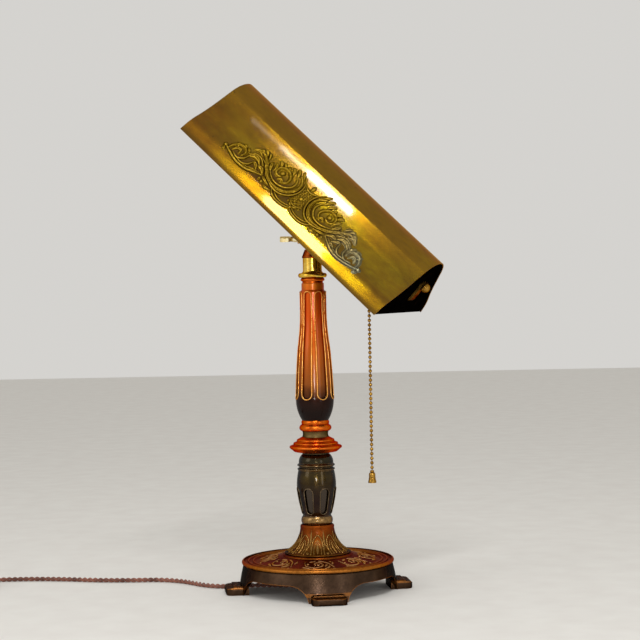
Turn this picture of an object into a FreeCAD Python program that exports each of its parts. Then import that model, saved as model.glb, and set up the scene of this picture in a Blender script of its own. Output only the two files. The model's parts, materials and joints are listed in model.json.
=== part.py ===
"""Desk lamp with a brass trough shade on a fluted stem over a four-footed cast base.

Millimetres, +Z up, origin on the stem's axis in the plane the feet stand on.
The side that faces the viewer looks along -Y.  Pieces of the shade are built
in a frame of their own, with X along the trough, Y along the tilt pivot and
Z out through the crown, and then turned and tilted into place.
"""
import FreeCAD
import Part
import math
import os

from FreeCAD import Placement, Rotation, Vector

# Clearances
seat_gap = 0.05            # pieces of one body that slide together
pole_flat = 0.6            # flat at the top of a ball, where it meets its axis
turn_gap = 0.05            # radial gap of a shaft that turns in its bore
free_gap = 0.3             # between bodies that pass each other

# Base casting
rim_radius = 71.7
rim_height = 27.8          # middle of the rim bead
rim_bead = 1.9
ridge_pitch = 4.6
ridge_size = 1.1
hub_radius = 33.5
hub_height = 35.0          # seat of the bell above the table
plate_wall = 4.2
skirt_wall = 4.0
skirt_flare = 3.2          # how much further out the skirt is at the table
base_turn = 7.2            # front foot stands this many degrees right of -Y
foot_count = 4
arch_height = 15.4
arch_half_angle = 31.5     # of the gap between two feet, seen from the axis
arch_corner = 19.0
toe_reach = 88.0
toe_width = 32.0
toe_height = 6.4
toe_corner = 6.5           # of the toe's two outer corners, seen from above
toe_crown = 3.6            # of the toe's long upper edges
toe_edge = 2.2             # of its front edges
step_height = 8.2
step_back = 7.0            # top step of the foot stands this far behind the toe
boss_radius = 15.0
boss_drop = 2.0

# Stack on the centre pipe, from the base upwards
bell_length = 27.0
bell_foot_radius = 31.0
bell_neck_radius = 15.0
vase_length = 67.4
vase_radius = 18.5
vase_foot_radius = 13.2
vase_ring_radius = 17.1
foot_ring_radius = 14.9
foot_ring_height = 8.0
disc_length = 15.0
disc_radius = 24.7
spacer_length = 5.6
spacer_radius = 12.2
bead_length = 10.0
bead_radius = 15.1
column_length = 129.2
column_top_radius = 12.1
column_radius = 17.7
column_foot_radius = 12.4
collar_radius = 10.6
collar_length = 8.2
check_length = 4.8
check_radius = 11.3
barrel_radius = 8.9
barrel_length = 18.4
flange_radius = 13.5
cap_length = 7.8
neck_radius = 6.2

# Flutes of the column and of the vase
flute_count = 7
flute_depth = 1.5
column_flute_angle = 30.0  # width of a flute, seen from the axis
column_flute_low = 20.0    # above the column's foot
column_flute_high = 121.0
vase_flute_angle = 26.0
vase_flute_low = 10.4      # above the vase's foot
vase_flute_high = 35.0

# Centre pipe and what holds it
pipe_radius = 5.0
pipe_bore = 3.6
pipe_drop = 21.0           # lower end above the table
pipe_top_in_barrel = 6.0
nut_across = 17.0
nut_height = 5.0
washer_radius = 12.5
washer_height = 1.6
bushing_radius = 6.0
bushing_lip = 2.4

# Swivel post, thumb key and tilt pivot
post_radius = 4.0
post_bore = 2.3
shank_rise = 0.8           # of the post, between its collar and the round of its eye
key_rise = 10.3            # thumb key above the barrel's cap
boss_reach = 13.4
key_boss_radius = 4.4
key_screw_radius = 2.4
key_hub_length = 6.2
key_blade_length = 12.0
key_blade_width = 11.0
key_blade_thick = 3.4
key_blade_turn = 12.0
tongue_thick = 4.6
tongue_radius = 7.0
pivot_tube_radius = 4.2
pivot_tube_bore = 2.6
friction_disc = 0.8
cheek_thick = 2.6
cheek_radius = 6.5
pivot_head_radius = 6.2
pivot_head_thick = 2.0
pivot_nut_thick = 3.4
thrust_collar = 1.8

# Pose of the head in the photograph
head_turn = -21.9          # degrees about the stem
shade_tilt = 43.0          # degrees, right end of the shade down

# Shade
shade_length = 256.0
sheet = 1.0
crown_radius = 31.0
side_angle = 52.0
side_straight = 18.0
flare_radius = 126.0
flare_angle = 40.0
lip_radius = 40.0
lip_angle = 70.0
plate_inset = 1.0          # end plates sit this far inside the shade's ends
pivot_above_mouth = 5.6
pivot_off_middle = 6.9     # towards the socket, which is the heavy end

# Carrier bar, fork and their rivets
bar_width = 9.0
bar_thick = 2.5
bar_bend = 1.5
flange_thick = 2.4
flange_half_length = 16.0
rivet_radius = 1.6
rivet_head = 2.9
rivet_at = 11.5

# Socket and bulb, on an axis along the trough
socket_above_mouth = 35.0
screw_radius = 2.5
screw_head_radius = 4.3
screw_head_height = 6.6
spacer_tube_radius = 5.5
spacer_tube_length = 24.0
socket_radius = 15.5
socket_wall = 0.8
socket_cap_length = 14.0
socket_shell_length = 46.0
interior_length = 28.0
screw_shell_radius = 13.6
screw_shell_wall = 0.5
screw_shell_length = 20.0
contact_thick = 0.5
bulb_base_radius = 12.9
bulb_base_length = 24.0
bulb_radius = 14.0
bulb_length = 127.0
bulb_wall = 1.0
outlet_from_cap = 19.0     # from the shell's cap end to the chain's outlet
outlet_reach = 22.0        # mouth of the outlet from the socket's axis
outlet_radius = 4.4
outlet_bore = 3.3
lever_thick = 2.4
lever_reach = 11.0

# Pull chain
guide_radius = 3.2
guide_length = 13.0
guide_lid = 2.4            # underside of the guide's lid above the outlet's axis
chain_bore = 2.1
bead_size = 1.6
bead_pitch = 4.2
bead_neck = 0.7
chain_beads = 50
chain_bell_radius = 3.7
chain_bell_length = 11.4

# Cord
cord_radius = 2.3
lead_radius = 1.8
lead_bow = 27.0            # how far behind the bar the shade's lead runs
lead_seat = 3.5            # of the lead inside the socket's cap
cord_sides = 8              # flats of a cord's tube
coil_outer = 37.5
coil_step = 5.2            # between neighbouring turns and between layers
coil_turns = 8.25
plug_radius = 11.5
plug_length = 24.0
blade_length = 17.0

# Heights of the stack, each from the piece below
bell_foot = hub_height
vase_foot = bell_foot + bell_length
disc_foot = vase_foot + vase_length
spacer_foot = disc_foot + disc_length
bead_foot = spacer_foot + spacer_length
column_foot = bead_foot + bead_length
check_foot = column_foot + column_length
barrel_foot = check_foot + check_length
barrel_top = barrel_foot + barrel_length
cap_top = barrel_top + cap_length
key_height = cap_top + key_rise
sleeve_top = key_height + key_boss_radius + 1.2
pivot_height = sleeve_top + free_gap + thrust_collar + shank_rise + tongue_radius
pipe_top = barrel_foot + pipe_top_in_barrel
bore_radius = pipe_radius + seat_gap

X = Vector(1, 0, 0)
Y = Vector(0, 1, 0)
Z = Vector(0, 0, 1)
ORIGIN = Vector(0, 0, 0)


def save(name, shape):
    """Write one node, after joining faces that a cut left split."""
    shape.exportStep("parts/" + name + ".step")
    print(f"{name:18s} {shape.Volume:10.1f} mm3  solids {len(shape.Solids)}  valid {shape.isValid()}")


def outline(points, place):
    """Closed wire through the points; a pair (via, end) is an arc through via."""
    edges = []
    here = points[0]
    for step in list(points[1:]) + [points[0]]:
        if isinstance(step[0], tuple):
            via, end = step
            edges.append(Part.Arc(place(here), place(via), place(end)).toShape())
        else:
            end = step
            if math.dist(here, end) < 1e-6:
                continue
            edges.append(Part.LineSegment(place(here), place(end)).toShape())
        here = end
    return Part.Wire(edges)


def turned(points):
    """Solid of revolution about Z; points are (radius, height)."""
    face = Part.Face(outline(points, lambda p: Vector(p[0], 0, p[1])))
    return face.revolve(ORIGIN, Z, 360)


def turned_along_x(points, y=0.0, z=0.0):
    """Solid of revolution about a line along X; points are (x, radius)."""
    face = Part.Face(outline(points, lambda p: Vector(p[0], y, z + p[1])))
    return face.revolve(Vector(0, y, z), X, 360)


def dome(radius, foot):
    """Steps of a half ball from (radius, foot) up to a small flat on the axis."""
    top = foot + math.sqrt(radius ** 2 - pole_flat ** 2)
    half = math.radians(45)
    via = (radius * math.cos(half), foot + radius * math.sin(half))
    return [(via, (pole_flat, top)), (0, top)]


def rod(radius, start, end):
    """Round bar from one point to another."""
    return Part.makeCylinder(radius, start.distanceToPoint(end), start, end - start)


def tube(outer, inner, start, end):
    """Round bar with a bore."""
    return rod(outer, start, end).cut(rod(inner, start, end))


def block(x0, x1, y0, y1, z0, z1):
    """Box between two corners."""
    return Part.makeBox(x1 - x0, y1 - y0, z1 - z0, Vector(x0, y0, z0))


def hexagon(across, height, foot):
    """Six-sided prism standing on foot along Z."""
    corner = across / 2 / math.cos(math.pi / 6)
    points = []
    for i in range(6):
        angle = math.radians(60 * i + 30)
        points.append(foot + Vector(corner * math.cos(angle), corner * math.sin(angle), 0))
    return Part.Face(Part.makePolygon(points + points[:1])).extrude(Vector(0, 0, height))


def flute_cutter(low, high, low_radius, high_radius, angle, core):
    """Round-ended slots around a turned piece, down to its core."""
    half = math.radians(angle / 2)
    low_half = low_radius * math.sin(half)
    high_half = high_radius * math.sin(half)
    far = 2 * max(low_radius, high_radius)
    slot = outline(
        [
            (-low_half, low + low_half),
            ((0, low), (low_half, low + low_half)),
            (high_half, high - high_half),
            ((0, high), (-high_half, high - high_half)),
        ],
        lambda p: Vector(p[0], 0, p[1]),
    )
    prism = Part.Face(slot).extrude(Vector(0, -far, 0)).cut(core)
    slots = []
    for i in range(flute_count):
        copy = prism.copy()
        copy.rotate(ORIGIN, Z, 360 / flute_count * (i + 0.5))
        slots.append(copy)
    return slots


# Base casting: turned plate and skirt, arches cut between four feet with toes
def make_base():
    skirt_top = rim_height - rim_bead
    rim_inner = rim_radius - rim_bead
    ridge_two = rim_inner - ridge_pitch
    ridge_three = ridge_two - ridge_pitch
    field = ridge_three - ridge_pitch
    level = rim_height + 0.4
    table_radius = rim_radius + skirt_flare

    def ridge(radius):
        return [
            (radius + ridge_size, level),
            (radius + 0.4 * ridge_size, level + ridge_size),
            (radius - 0.4 * ridge_size, level + ridge_size),
            (radius - ridge_size, level),
        ]

    body = turned([
        (bore_radius, hub_height),
        (hub_radius - 1.5, hub_height),
        ((hub_radius - 0.4, hub_height - 0.5), (hub_radius, hub_height - 1.5)),
        (field, level),
    ] + ridge(ridge_three)[::-1] + ridge(ridge_two)[::-1] + [
        (rim_inner, level),
        (rim_inner, rim_height + rim_bead),
        ((rim_radius, rim_height), (rim_inner, skirt_top)),
        (rim_inner + 0.6, skirt_top - 1.0),
        ((rim_radius + 0.5, skirt_top - 9), (table_radius, 0)),
        (table_radius - skirt_wall, 0),
        (rim_inner - skirt_wall, skirt_top - plate_wall + 1.5),
        (hub_radius, hub_height - 1.5 - plate_wall),
        (boss_radius, hub_height - 0.5 - plate_wall),
        (boss_radius, hub_height - 0.5 - plate_wall - boss_drop),
        (bore_radius, hub_height - 0.5 - plate_wall - boss_drop),
    ])
    half = table_radius * math.sin(math.radians(arch_half_angle))
    arch = outline(
        [
            (-half, -arch_corner),
            (-half, arch_height - arch_corner),
            ((-half + arch_corner * 0.2929, arch_height - arch_corner * 0.2929),
             (-half + arch_corner, arch_height)),
            (half - arch_corner, arch_height),
            ((half - arch_corner * 0.2929, arch_height - arch_corner * 0.2929),
             (half, arch_height - arch_corner)),
            (half, -arch_corner),
        ],
        lambda p: Vector(p[0], 0, p[1]),
    )
    arch_tool = Part.Face(arch).extrude(Vector(0, -2 * toe_reach, 0))
    step_end = toe_reach - step_back
    foot_inner = table_radius - skirt_wall - 4
    toe_half = toe_width / 2
    foot_side = outline(
        [
            (foot_inner, 0),
            (toe_reach - toe_edge, 0),
            ((toe_reach - 0.2929 * toe_edge, 0.2929 * toe_edge), (toe_reach, toe_edge)),
            (toe_reach, toe_height - toe_edge),
            ((toe_reach - 0.2929 * toe_edge, toe_height - 0.2929 * toe_edge), (toe_reach - toe_edge, toe_height)),
            (step_end, toe_height + 0.5),
            (step_end, step_height - 0.8),
            ((step_end - 0.25, step_height - 0.25), (step_end - 0.8, step_height)),
            (foot_inner, step_height),
        ],
        lambda p: Vector(-toe_half, -p[0], p[1]),
    )
    foot_front = outline(
        [
            (-toe_half, 0),
            (-toe_half, step_height - toe_crown),
            ((-toe_half + 0.2929 * toe_crown, step_height - 0.2929 * toe_crown),
             (-toe_half + toe_crown, step_height)),
            (toe_half - toe_crown, step_height),
            ((toe_half - 0.2929 * toe_crown, step_height - 0.2929 * toe_crown),
             (toe_half, step_height - toe_crown)),
            (toe_half, 0),
        ],
        lambda p: Vector(p[0], 0, p[1]),
    )
    foot_plan = outline(
        [
            (-toe_half, foot_inner),
            (-toe_half, toe_reach - toe_corner),
            ((-toe_half + 0.2929 * toe_corner, toe_reach - 0.2929 * toe_corner),
             (-toe_half + toe_corner, toe_reach)),
            (toe_half - toe_corner, toe_reach),
            ((toe_half - 0.2929 * toe_corner, toe_reach - 0.2929 * toe_corner),
             (toe_half, toe_reach - toe_corner)),
            (toe_half, foot_inner),
        ],
        lambda p: Vector(p[0], -p[1], 0),
    )
    foot = Part.Face(foot_side).extrude(Vector(toe_width, 0, 0))
    foot = foot.common(Part.Face(foot_front).extrude(Vector(0, -2 * toe_reach, 0)))
    foot = foot.common(Part.Face(foot_plan).extrude(Vector(0, 0, 2 * step_height)))
    turn = 360 / foot_count
    for i in range(foot_count):
        cut = arch_tool.copy()
        cut.rotate(ORIGIN, Z, base_turn + turn * (i + 0.5))
        body = body.cut(cut)
    for i in range(foot_count):
        toe = foot.copy()
        toe.rotate(ORIGIN, Z, base_turn + turn * i)
        body = body.fuse(toe)
    return body.removeSplitter()


# Trumpet bell that stands on the base
def make_bell():
    foot, top = bell_foot, bell_foot + bell_length
    return turned([
        (bore_radius, foot),
        (bell_foot_radius - 1, foot),
        ((bell_foot_radius, foot + 0.9), (bell_foot_radius - 0.9, foot + 1.8)),
        ((20.6, foot + 0.36 * bell_length), (bell_neck_radius + 1.0, top - 1.2)),
        (bell_neck_radius, top),
        (bore_radius, top),
    ])


# Vase with a foot ring, seven short flutes and a ringed shoulder
def make_vase():
    foot = vase_foot
    body_foot = foot + foot_ring_height + 0.6
    widest = foot + 0.52 * vase_length
    shoulder = foot + vase_length - 16.4
    cove_foot = foot + vase_length - 9.6
    profile = [
        (bore_radius, foot),
        (foot_ring_radius - 1.4, foot),
        ((foot_ring_radius, foot + foot_ring_height / 2), (foot_ring_radius - 1.4, foot + foot_ring_height)),
        (vase_foot_radius, body_foot),
        ((vase_radius - 1.1, widest - 8.5), (vase_radius, widest)),
        ((vase_radius - 0.3, (widest + shoulder) / 2), (vase_ring_radius - 0.2, shoulder)),
        (vase_ring_radius, shoulder + 0.4),
        ((vase_ring_radius + 0.6, shoulder + 1.3), (vase_ring_radius, shoulder + 2.2)),
        (vase_ring_radius - 1.1, shoulder + 2.6),
        (vase_ring_radius - 1.1, shoulder + 3.6),
        (vase_ring_radius, shoulder + 4.0),
        ((vase_ring_radius + 0.6, shoulder + 4.9), (vase_ring_radius, shoulder + 5.8)),
        (vase_ring_radius - 0.9, cove_foot),
        ((vase_ring_radius - 1.5, cove_foot + 4.6), (12.6, foot + vase_length - 1.0)),
        (12.6, foot + vase_length),
        (bore_radius, foot + vase_length),
    ]
    body = turned(profile)
    core = turned([
        (0, body_foot),
        (vase_foot_radius - flute_depth, body_foot),
        ((vase_radius - 1.1 - flute_depth, widest - 8.5), (vase_radius - flute_depth, widest)),
        (vase_ring_radius - flute_depth, shoulder),
        (0, shoulder),
    ])
    low, high = foot + vase_flute_low, foot + vase_flute_high
    for slot in flute_cutter(low, high, vase_foot_radius + 1, vase_radius, vase_flute_angle, core):
        body = body.cut(slot)
    return body


# Stepped copper disc
def make_disc():
    foot, top = disc_foot, disc_foot + disc_length
    r = disc_radius
    return turned([
        (bore_radius, foot),
        (14.0, foot),
        (r - 4.5, foot + 1.2),
        (r - 0.9, foot + 4.2),
        ((r, foot + 5.5), (r - 0.8, foot + 6.8)),
        (r - 3.1, foot + 7.6),
        (r - 3.9, foot + 8.2),
        ((r - 3.7, foot + 9.2), (r - 4.6, foot + 9.9)),
        (r - 6.4, foot + 10.6),
        (r - 7.1, foot + 11.2),
        ((r - 7.0, foot + 12.2), (r - 8.0, foot + 13.0)),
        (spacer_radius + 0.8, top),
        (bore_radius, top),
    ])


# Plain waisted spacer
def make_spacer():
    foot, top = spacer_foot, spacer_foot + spacer_length
    return turned([
        (bore_radius, foot),
        (spacer_radius + 0.4, foot),
        ((spacer_radius - 0.3, (foot + top) / 2), (spacer_radius + 0.4, top)),
        (bore_radius, top),
    ])


# Copper bead ring under the column
def make_bead_ring():
    foot, top = bead_foot, bead_foot + bead_length
    bead_top = foot + 6.4
    return turned([
        (bore_radius, foot),
        (bead_radius - 2.4, foot),
        ((bead_radius, foot + 2.6), (bead_radius - 1.0, foot + 5.2)),
        (bead_radius - 2.4, bead_top),
        ((bead_radius - 2.0, bead_top + 1.6), (column_foot_radius, top)),
        (bore_radius, top),
    ])


# Column: bulb, tapering shaft with seven flutes, turned collar
def make_column():
    foot, top = column_foot, column_foot + column_length
    collar_foot = top - collar_length
    waist = foot + 0.68 * column_length
    taper = [
        (column_radius, foot + 22),
        ((column_radius - 1.3, foot + 0.38 * column_length), (0.5 * (column_radius + column_top_radius), foot + 0.53 * column_length)),
        ((column_top_radius + 0.6, waist), (column_top_radius, foot + 0.82 * column_length)),
    ]
    body = turned([
        (bore_radius, foot),
        (column_foot_radius, foot),
        ((column_radius - 1.3, foot + 9.0), taper[0]),
        taper[1],
        taper[2],
        (column_top_radius, collar_foot - 0.8),
        ((column_top_radius - 0.3, collar_foot + 0.3), (column_top_radius - 1.0, collar_foot + 0.8)),
        (collar_radius, collar_foot + 1.6),
        (collar_radius, top - 0.8),
        (collar_radius - 0.8, top),
        (bore_radius, top),
    ])

    def inwards(step):
        return tuple((p[0] - flute_depth, p[1]) for p in step)

    core = turned([
        (0, foot),
        (column_radius - 1.3 - flute_depth, foot + 9.0),
        (taper[0][0] - flute_depth, taper[0][1]),
        inwards(taper[1]),
        inwards(taper[2]),
        (column_top_radius - flute_depth, top),
        (0, top),
    ])
    low, high = foot + column_flute_low, foot + column_flute_high
    for slot in flute_cutter(low, high, column_radius, column_top_radius, column_flute_angle, core):
        body = body.cut(slot)
    return body


# Thin check ring in the groove under the barrel
def make_check_ring():
    foot, top = check_foot, check_foot + check_length
    return turned([
        (bore_radius, foot),
        (check_radius - 1.6, foot),
        (check_radius - 1.6, foot + 1.5),
        (check_radius - 0.6, foot + 1.7),
        ((check_radius, foot + 2.9), (check_radius - 0.6, foot + 4.1)),
        (check_radius - 1.2, top),
        (bore_radius, top),
    ])


# Brass barrel: flange, body and the sleeve that the post turns in
def make_barrel():
    foot = barrel_foot
    sleeve_bore = post_radius + turn_gap
    body = turned([
        (bore_radius, foot),
        (flange_radius - 1.6, foot),
        ((flange_radius, foot + 2.2), (flange_radius - 1.3, foot + 4.2)),
        ((barrel_radius + 0.8, foot + 4.9), (barrel_radius, foot + 6.4)),
        (barrel_radius, barrel_top),
        (neck_radius, barrel_top),
        (neck_radius, sleeve_top - 0.6),
        (neck_radius - 0.6, sleeve_top),
        (sleeve_bore, sleeve_top),
        (sleeve_bore, pipe_top),
        (bore_radius, pipe_top),
    ])
    boss = rod(key_boss_radius, Vector(0, 0, key_height), Vector(-boss_reach, 0, key_height))
    body = body.fuse(boss).cut(Part.makeCylinder(sleeve_bore, sleeve_top - pipe_top, Vector(0, 0, pipe_top)))
    hole = rod(key_screw_radius + turn_gap, Vector(0, 0, key_height), Vector(-2 * boss_reach, 0, key_height))
    return body.cut(hole).removeSplitter()


# Copper dome slipped over the sleeve
def make_cap():
    foot, top = barrel_top, cap_top
    inner = neck_radius + seat_gap
    return turned([
        (inner, foot),
        (barrel_radius + 0.5, foot),
        ((barrel_radius + 0.7, foot + 1.0), (barrel_radius + 0.2, foot + 2.2)),
        ((barrel_radius - 0.9, foot + 5.4), (inner + 0.7, top)),
        (inner, top),
    ])


# Thumb key: screw, tapered hub and flat blade, pointing left
def make_thumb_key():
    tip = -(post_radius - 0.7 + free_gap)
    hub_start = -boss_reach - free_gap
    hub_end = hub_start - key_hub_length
    profile = [
        (tip, 0),
        (tip, key_screw_radius - 0.6),
        (tip - 0.6, key_screw_radius),
        (hub_start, key_screw_radius),
        (hub_start, 3.1),
        (hub_end, 2.3),
        (hub_end, 0),
    ]
    key = turned_along_x(profile, 0, key_height)
    blade_end = hub_end - key_blade_length + 2.0
    half = key_blade_width / 2
    blade = outline(
        [
            (hub_end + 2.4, -2.0),
            (hub_end - 2.0, -half),
            (blade_end + 2.0, -half),
            ((blade_end + 0.6, -half + 0.6), (blade_end, -half + 2.0)),
            (blade_end, half - 2.0),
            ((blade_end + 0.6, half - 0.6), (blade_end + 2.0, half)),
            (hub_end - 2.0, half),
            (hub_end + 2.4, 2.0),
        ],
        lambda p: Vector(p[0], p[1], key_height - key_blade_thick / 2),
    )
    blade = Part.Face(blade).extrude(Vector(0, 0, key_blade_thick))
    blade.rotate(Vector(0, 0, key_height), X, key_blade_turn)
    return key.fuse(blade).removeSplitter()


# Centre pipe, washer, nut and the bushing that the cord leaves through
def make_pipe():
    return tube(pipe_radius, pipe_bore, Vector(0, 0, pipe_drop), Vector(0, 0, pipe_top))


def seat_under_base():
    return hub_height - 0.5 - plate_wall - boss_drop


def make_washer():
    top = seat_under_base()
    return tube(washer_radius, bore_radius, Vector(0, 0, top - washer_height), Vector(0, 0, top))


def make_nut():
    top = seat_under_base() - washer_height
    nut = hexagon(nut_across, nut_height, Vector(0, 0, top - nut_height))
    chamfer = turned([
        (0, top - nut_height),
        (nut_across / 2 + 0.1, top - nut_height),
        (nut_across / 2 + 1.4, top - nut_height + 0.8),
        (nut_across / 2 + 1.4, top),
        (0, top),
    ])
    nut = nut.common(chamfer)
    return nut.cut(rod(bore_radius, Vector(0, 0, top - nut_height), Vector(0, 0, top)))


def make_bushing():
    return turned([
        (cord_radius + 0.3, pipe_drop - bushing_lip),
        (bushing_radius - 0.8, pipe_drop - bushing_lip),
        ((bushing_radius, pipe_drop - 1.2), (bushing_radius - 0.4, pipe_drop)),
        (pipe_bore - seat_gap, pipe_drop),
        (pipe_bore - seat_gap, pipe_drop + 4),
        (cord_radius + 0.3, pipe_drop + 4),
    ])


def make_riser_lead():
    return rod(cord_radius, Vector(0, 0, pipe_drop - bushing_lip), Vector(0, 0, pipe_top - 2))


# Head: post with its tongue, friction discs and the lead inside
def turn_head(shape):
    shape.Placement = Placement(ORIGIN, Rotation(Z, head_turn)).multiply(shape.Placement)
    return shape


def make_post():
    collar_foot = sleeve_top + free_gap
    post = rod(post_radius, Vector(0, 0, pipe_top + 2.5), Vector(0, 0, collar_foot))
    groove = 1.0
    ring = tube(2 * post_radius, post_radius - groove,
                Vector(0, 0, key_height - key_screw_radius - 1), Vector(0, 0, key_height + key_screw_radius + 1))
    post = post.cut(ring)
    collar = rod(neck_radius, Vector(0, 0, collar_foot), Vector(0, 0, collar_foot + thrust_collar))
    shank = block(-post_radius, post_radius, -tongue_thick / 2, tongue_thick / 2, collar_foot, pivot_height)
    eye = Part.makeCylinder(tongue_radius, tongue_thick, Vector(0, -tongue_thick / 2, pivot_height), Y)
    post = post.fuse([collar, shank, eye])
    post = post.cut(rod(post_bore, Vector(0, 0, 0), Vector(0, 0, pivot_height)))
    pin = Part.makeCylinder(pivot_tube_radius + turn_gap, 4 * tongue_thick, Vector(0, -2 * tongue_thick, pivot_height), Y)
    return turn_head(post.cut(pin).removeSplitter())


def make_friction_discs():
    discs = []
    for side in (-1, 1):
        start = Vector(0, side * tongue_thick / 2, pivot_height)
        end = Vector(0, side * (tongue_thick / 2 + friction_disc), pivot_height)
        discs.append(tube(tongue_radius - 0.6, pivot_tube_radius + free_gap, start, end))
    return turn_head(Part.makeCompound(discs))


def make_post_lead():
    top = pivot_height - pivot_tube_radius - 0.6
    return turn_head(rod(lead_radius, Vector(0, 0, pipe_top + 2.5), Vector(0, 0, top)))


# Shade: all of it is built about the tilt pivot, with the mouth facing -Z
def place_shade(shape):
    tilt = Placement(ORIGIN, Rotation(Y, shade_tilt))
    lift = Placement(Vector(0, 0, pivot_height), Rotation(Z, head_turn))
    shape.Placement = lift.multiply(tilt).multiply(shape.Placement)
    return shape


def shade_side(inset):
    """Half of the trough's section, from the crown down: arcs and one straight."""
    r = math.radians
    s1, s2, s3 = r(side_angle), r(flare_angle), r(lip_angle)
    crown, flare, lip = crown_radius - inset, flare_radius + inset, lip_radius - inset
    centre = shade_height() - crown_radius

    def bend(start, radius, slope_a, slope_b):
        sign = 1 if slope_b > slope_a else -1

        def at(slope):
            return (start[0] + sign * radius * (math.sin(slope) - math.sin(slope_a)),
                    start[1] + sign * radius * (math.cos(slope) - math.cos(slope_a)))
        return at((slope_a + slope_b) / 2), at(slope_b)

    top = (0.0, centre + crown)
    via_crown, t1 = bend(top, crown, 0.0, s1)
    t2 = (t1[0] + side_straight * math.cos(s1), t1[1] - side_straight * math.sin(s1))
    via_flare, t3 = bend(t2, flare, s1, s2)
    via_lip, t4 = bend(t3, lip, s2, s3)
    return [top, (via_crown, t1), t2, (via_flare, t3), (via_lip, t4)]


def shade_height():
    """Height of the crown above the mouth, from the section's own arcs."""
    r = math.radians
    s1, s2, s3 = r(side_angle), r(flare_angle), r(lip_angle)
    return (crown_radius * (1 - math.cos(s1)) + side_straight * math.sin(s1)
            + flare_radius * (math.cos(s2) - math.cos(s1)) + lip_radius * (math.cos(s2) - math.cos(s3)))


def section_path(inset):
    """Steps of the whole section, from the front lip over the crown to the back lip."""
    half = shade_side(inset)
    ends = [half[0]] + [s[1] if isinstance(s[0], tuple) else s for s in half[1:]]

    def mirror(p):
        return (-p[0], p[1])

    path = [mirror(ends[-1])]
    for i in range(len(half) - 1, 0, -1):
        step = half[i]
        target = mirror(ends[i - 1])
        path.append((mirror(step[0]), target) if isinstance(step[0], tuple) else target)
    return path + half[1:]


def reverse_path(path):
    ends = [path[0]] + [s[1] if isinstance(s[0], tuple) else s for s in path[1:]]
    back = [ends[-1]]
    for i in range(len(path) - 1, 0, -1):
        step = path[i]
        back.append((step[0], ends[i - 1]) if isinstance(step[0], tuple) else ends[i - 1])
    return back


middle_x = -pivot_off_middle
mouth_z = -pivot_above_mouth
left_end = middle_x - shade_length / 2
right_end = middle_x + shade_length / 2
socket_z = mouth_z + socket_above_mouth
fork_gap = tongue_thick / 2 + friction_disc + free_gap
bar_foot = tongue_radius + 0.5 + flange_thick
bar_top = bar_foot + bar_thick


def make_shell():
    path = section_path(0.0) + reverse_path(section_path(sheet))
    face = Part.Face(outline(path, lambda p: Vector(left_end, p[0], mouth_z + p[1])))
    return place_shade(face.extrude(Vector(shade_length, 0, 0)))


def make_end_plate(side):
    path = section_path(sheet + seat_gap)
    outer = (right_end if side > 0 else left_end) - side * plate_inset
    start = min(outer, outer - side * sheet)
    face = Part.Face(outline(path, lambda p: Vector(start, p[0], mouth_z + p[1])))
    plate = face.extrude(Vector(sheet, 0, 0))
    slot = block(start - 1, start + sheet + 1, -bar_width / 2 - free_gap, bar_width / 2 + free_gap,
                 bar_foot - free_gap, bar_top + bar_bend + free_gap)
    hole = rod(screw_radius + seat_gap, Vector(start - 1, 0, socket_z), Vector(start + sheet + 1, 0, socket_z))
    return place_shade(plate.cut(slot).cut(hole))


# Carrier bar: a flat strip whose ends pass through the end plates and turn up
def ear_face(side):
    """Inner face of an upturned end, just clear of its plate."""
    end = right_end if side > 0 else left_end
    return end - side * (plate_inset - seat_gap)


def make_bar():
    low, high = bar_foot, bar_top
    left, right = ear_face(-1), ear_face(1)
    ri, ro = bar_bend, bar_bend + bar_thick
    cut = 1 - math.sqrt(0.5)
    ear_top = socket_z + bar_width / 2
    side = outline(
        [
            (left, ear_top),
            (left, high + ri),
            ((left + ri * cut, high + ri * cut), (left + ri, high)),
            (right - ri, high),
            ((right - ri * cut, high + ri * cut), (right, high + ri)),
            (right, ear_top),
            (right + bar_thick, ear_top),
            (right + bar_thick, low + ro),
            ((right + bar_thick - ro * cut, low + ro * cut), (right + bar_thick - ro, low)),
            (left - bar_thick + ro, low),
            ((left - bar_thick + ro * cut, low + ro * cut), (left - bar_thick, low + ro)),
            (left - bar_thick, ear_top),
        ],
        lambda p: Vector(p[0], -bar_width / 2, p[1]),
    )
    bar = Part.Face(side).extrude(Vector(0, bar_width, 0))
    half = bar_width / 2
    trim = block(left - 9, right + 9, -half - 1, half + 1, socket_z, ear_top + 1)
    trim = trim.cut(rod(half, Vector(left - 10, 0, socket_z), Vector(right + 10, 0, socket_z)))
    bar = bar.cut(trim)
    hole = rod(screw_radius + seat_gap, Vector(left - 10, 0, socket_z), Vector(right + 10, 0, socket_z))
    bar = bar.cut(hole)
    for x in (-rivet_at, rivet_at):
        bar = bar.cut(rod(rivet_radius, Vector(x, 0, low - 1), Vector(x, 0, high + 1)))
    return place_shade(bar)


# Fork that hangs from the bar and straddles the tongue
def make_fork():
    outer = fork_gap + cheek_thick
    under = bar_foot - flange_thick
    flange = block(-flange_half_length, flange_half_length, -outer, outer, under, bar_foot)
    cheeks = block(-cheek_radius, cheek_radius, -outer, outer, 0, under)
    cheeks = cheeks.fuse(Part.makeCylinder(cheek_radius, 2 * outer, Vector(0, -outer, 0), Y))
    cheeks = cheeks.cut(block(-3 * cheek_radius, 3 * cheek_radius, -fork_gap, fork_gap, -3 * cheek_radius, under))
    fork = flange.fuse(cheeks)
    fork = fork.cut(Part.makeCylinder(pivot_tube_radius + seat_gap, 4 * outer, Vector(0, -2 * outer, 0), Y))
    for x in (-rivet_at, rivet_at):
        fork = fork.cut(rod(rivet_radius, Vector(x, 0, under - 1), Vector(x, 0, bar_foot + 1)))
    return place_shade(fork.removeSplitter())


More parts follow.
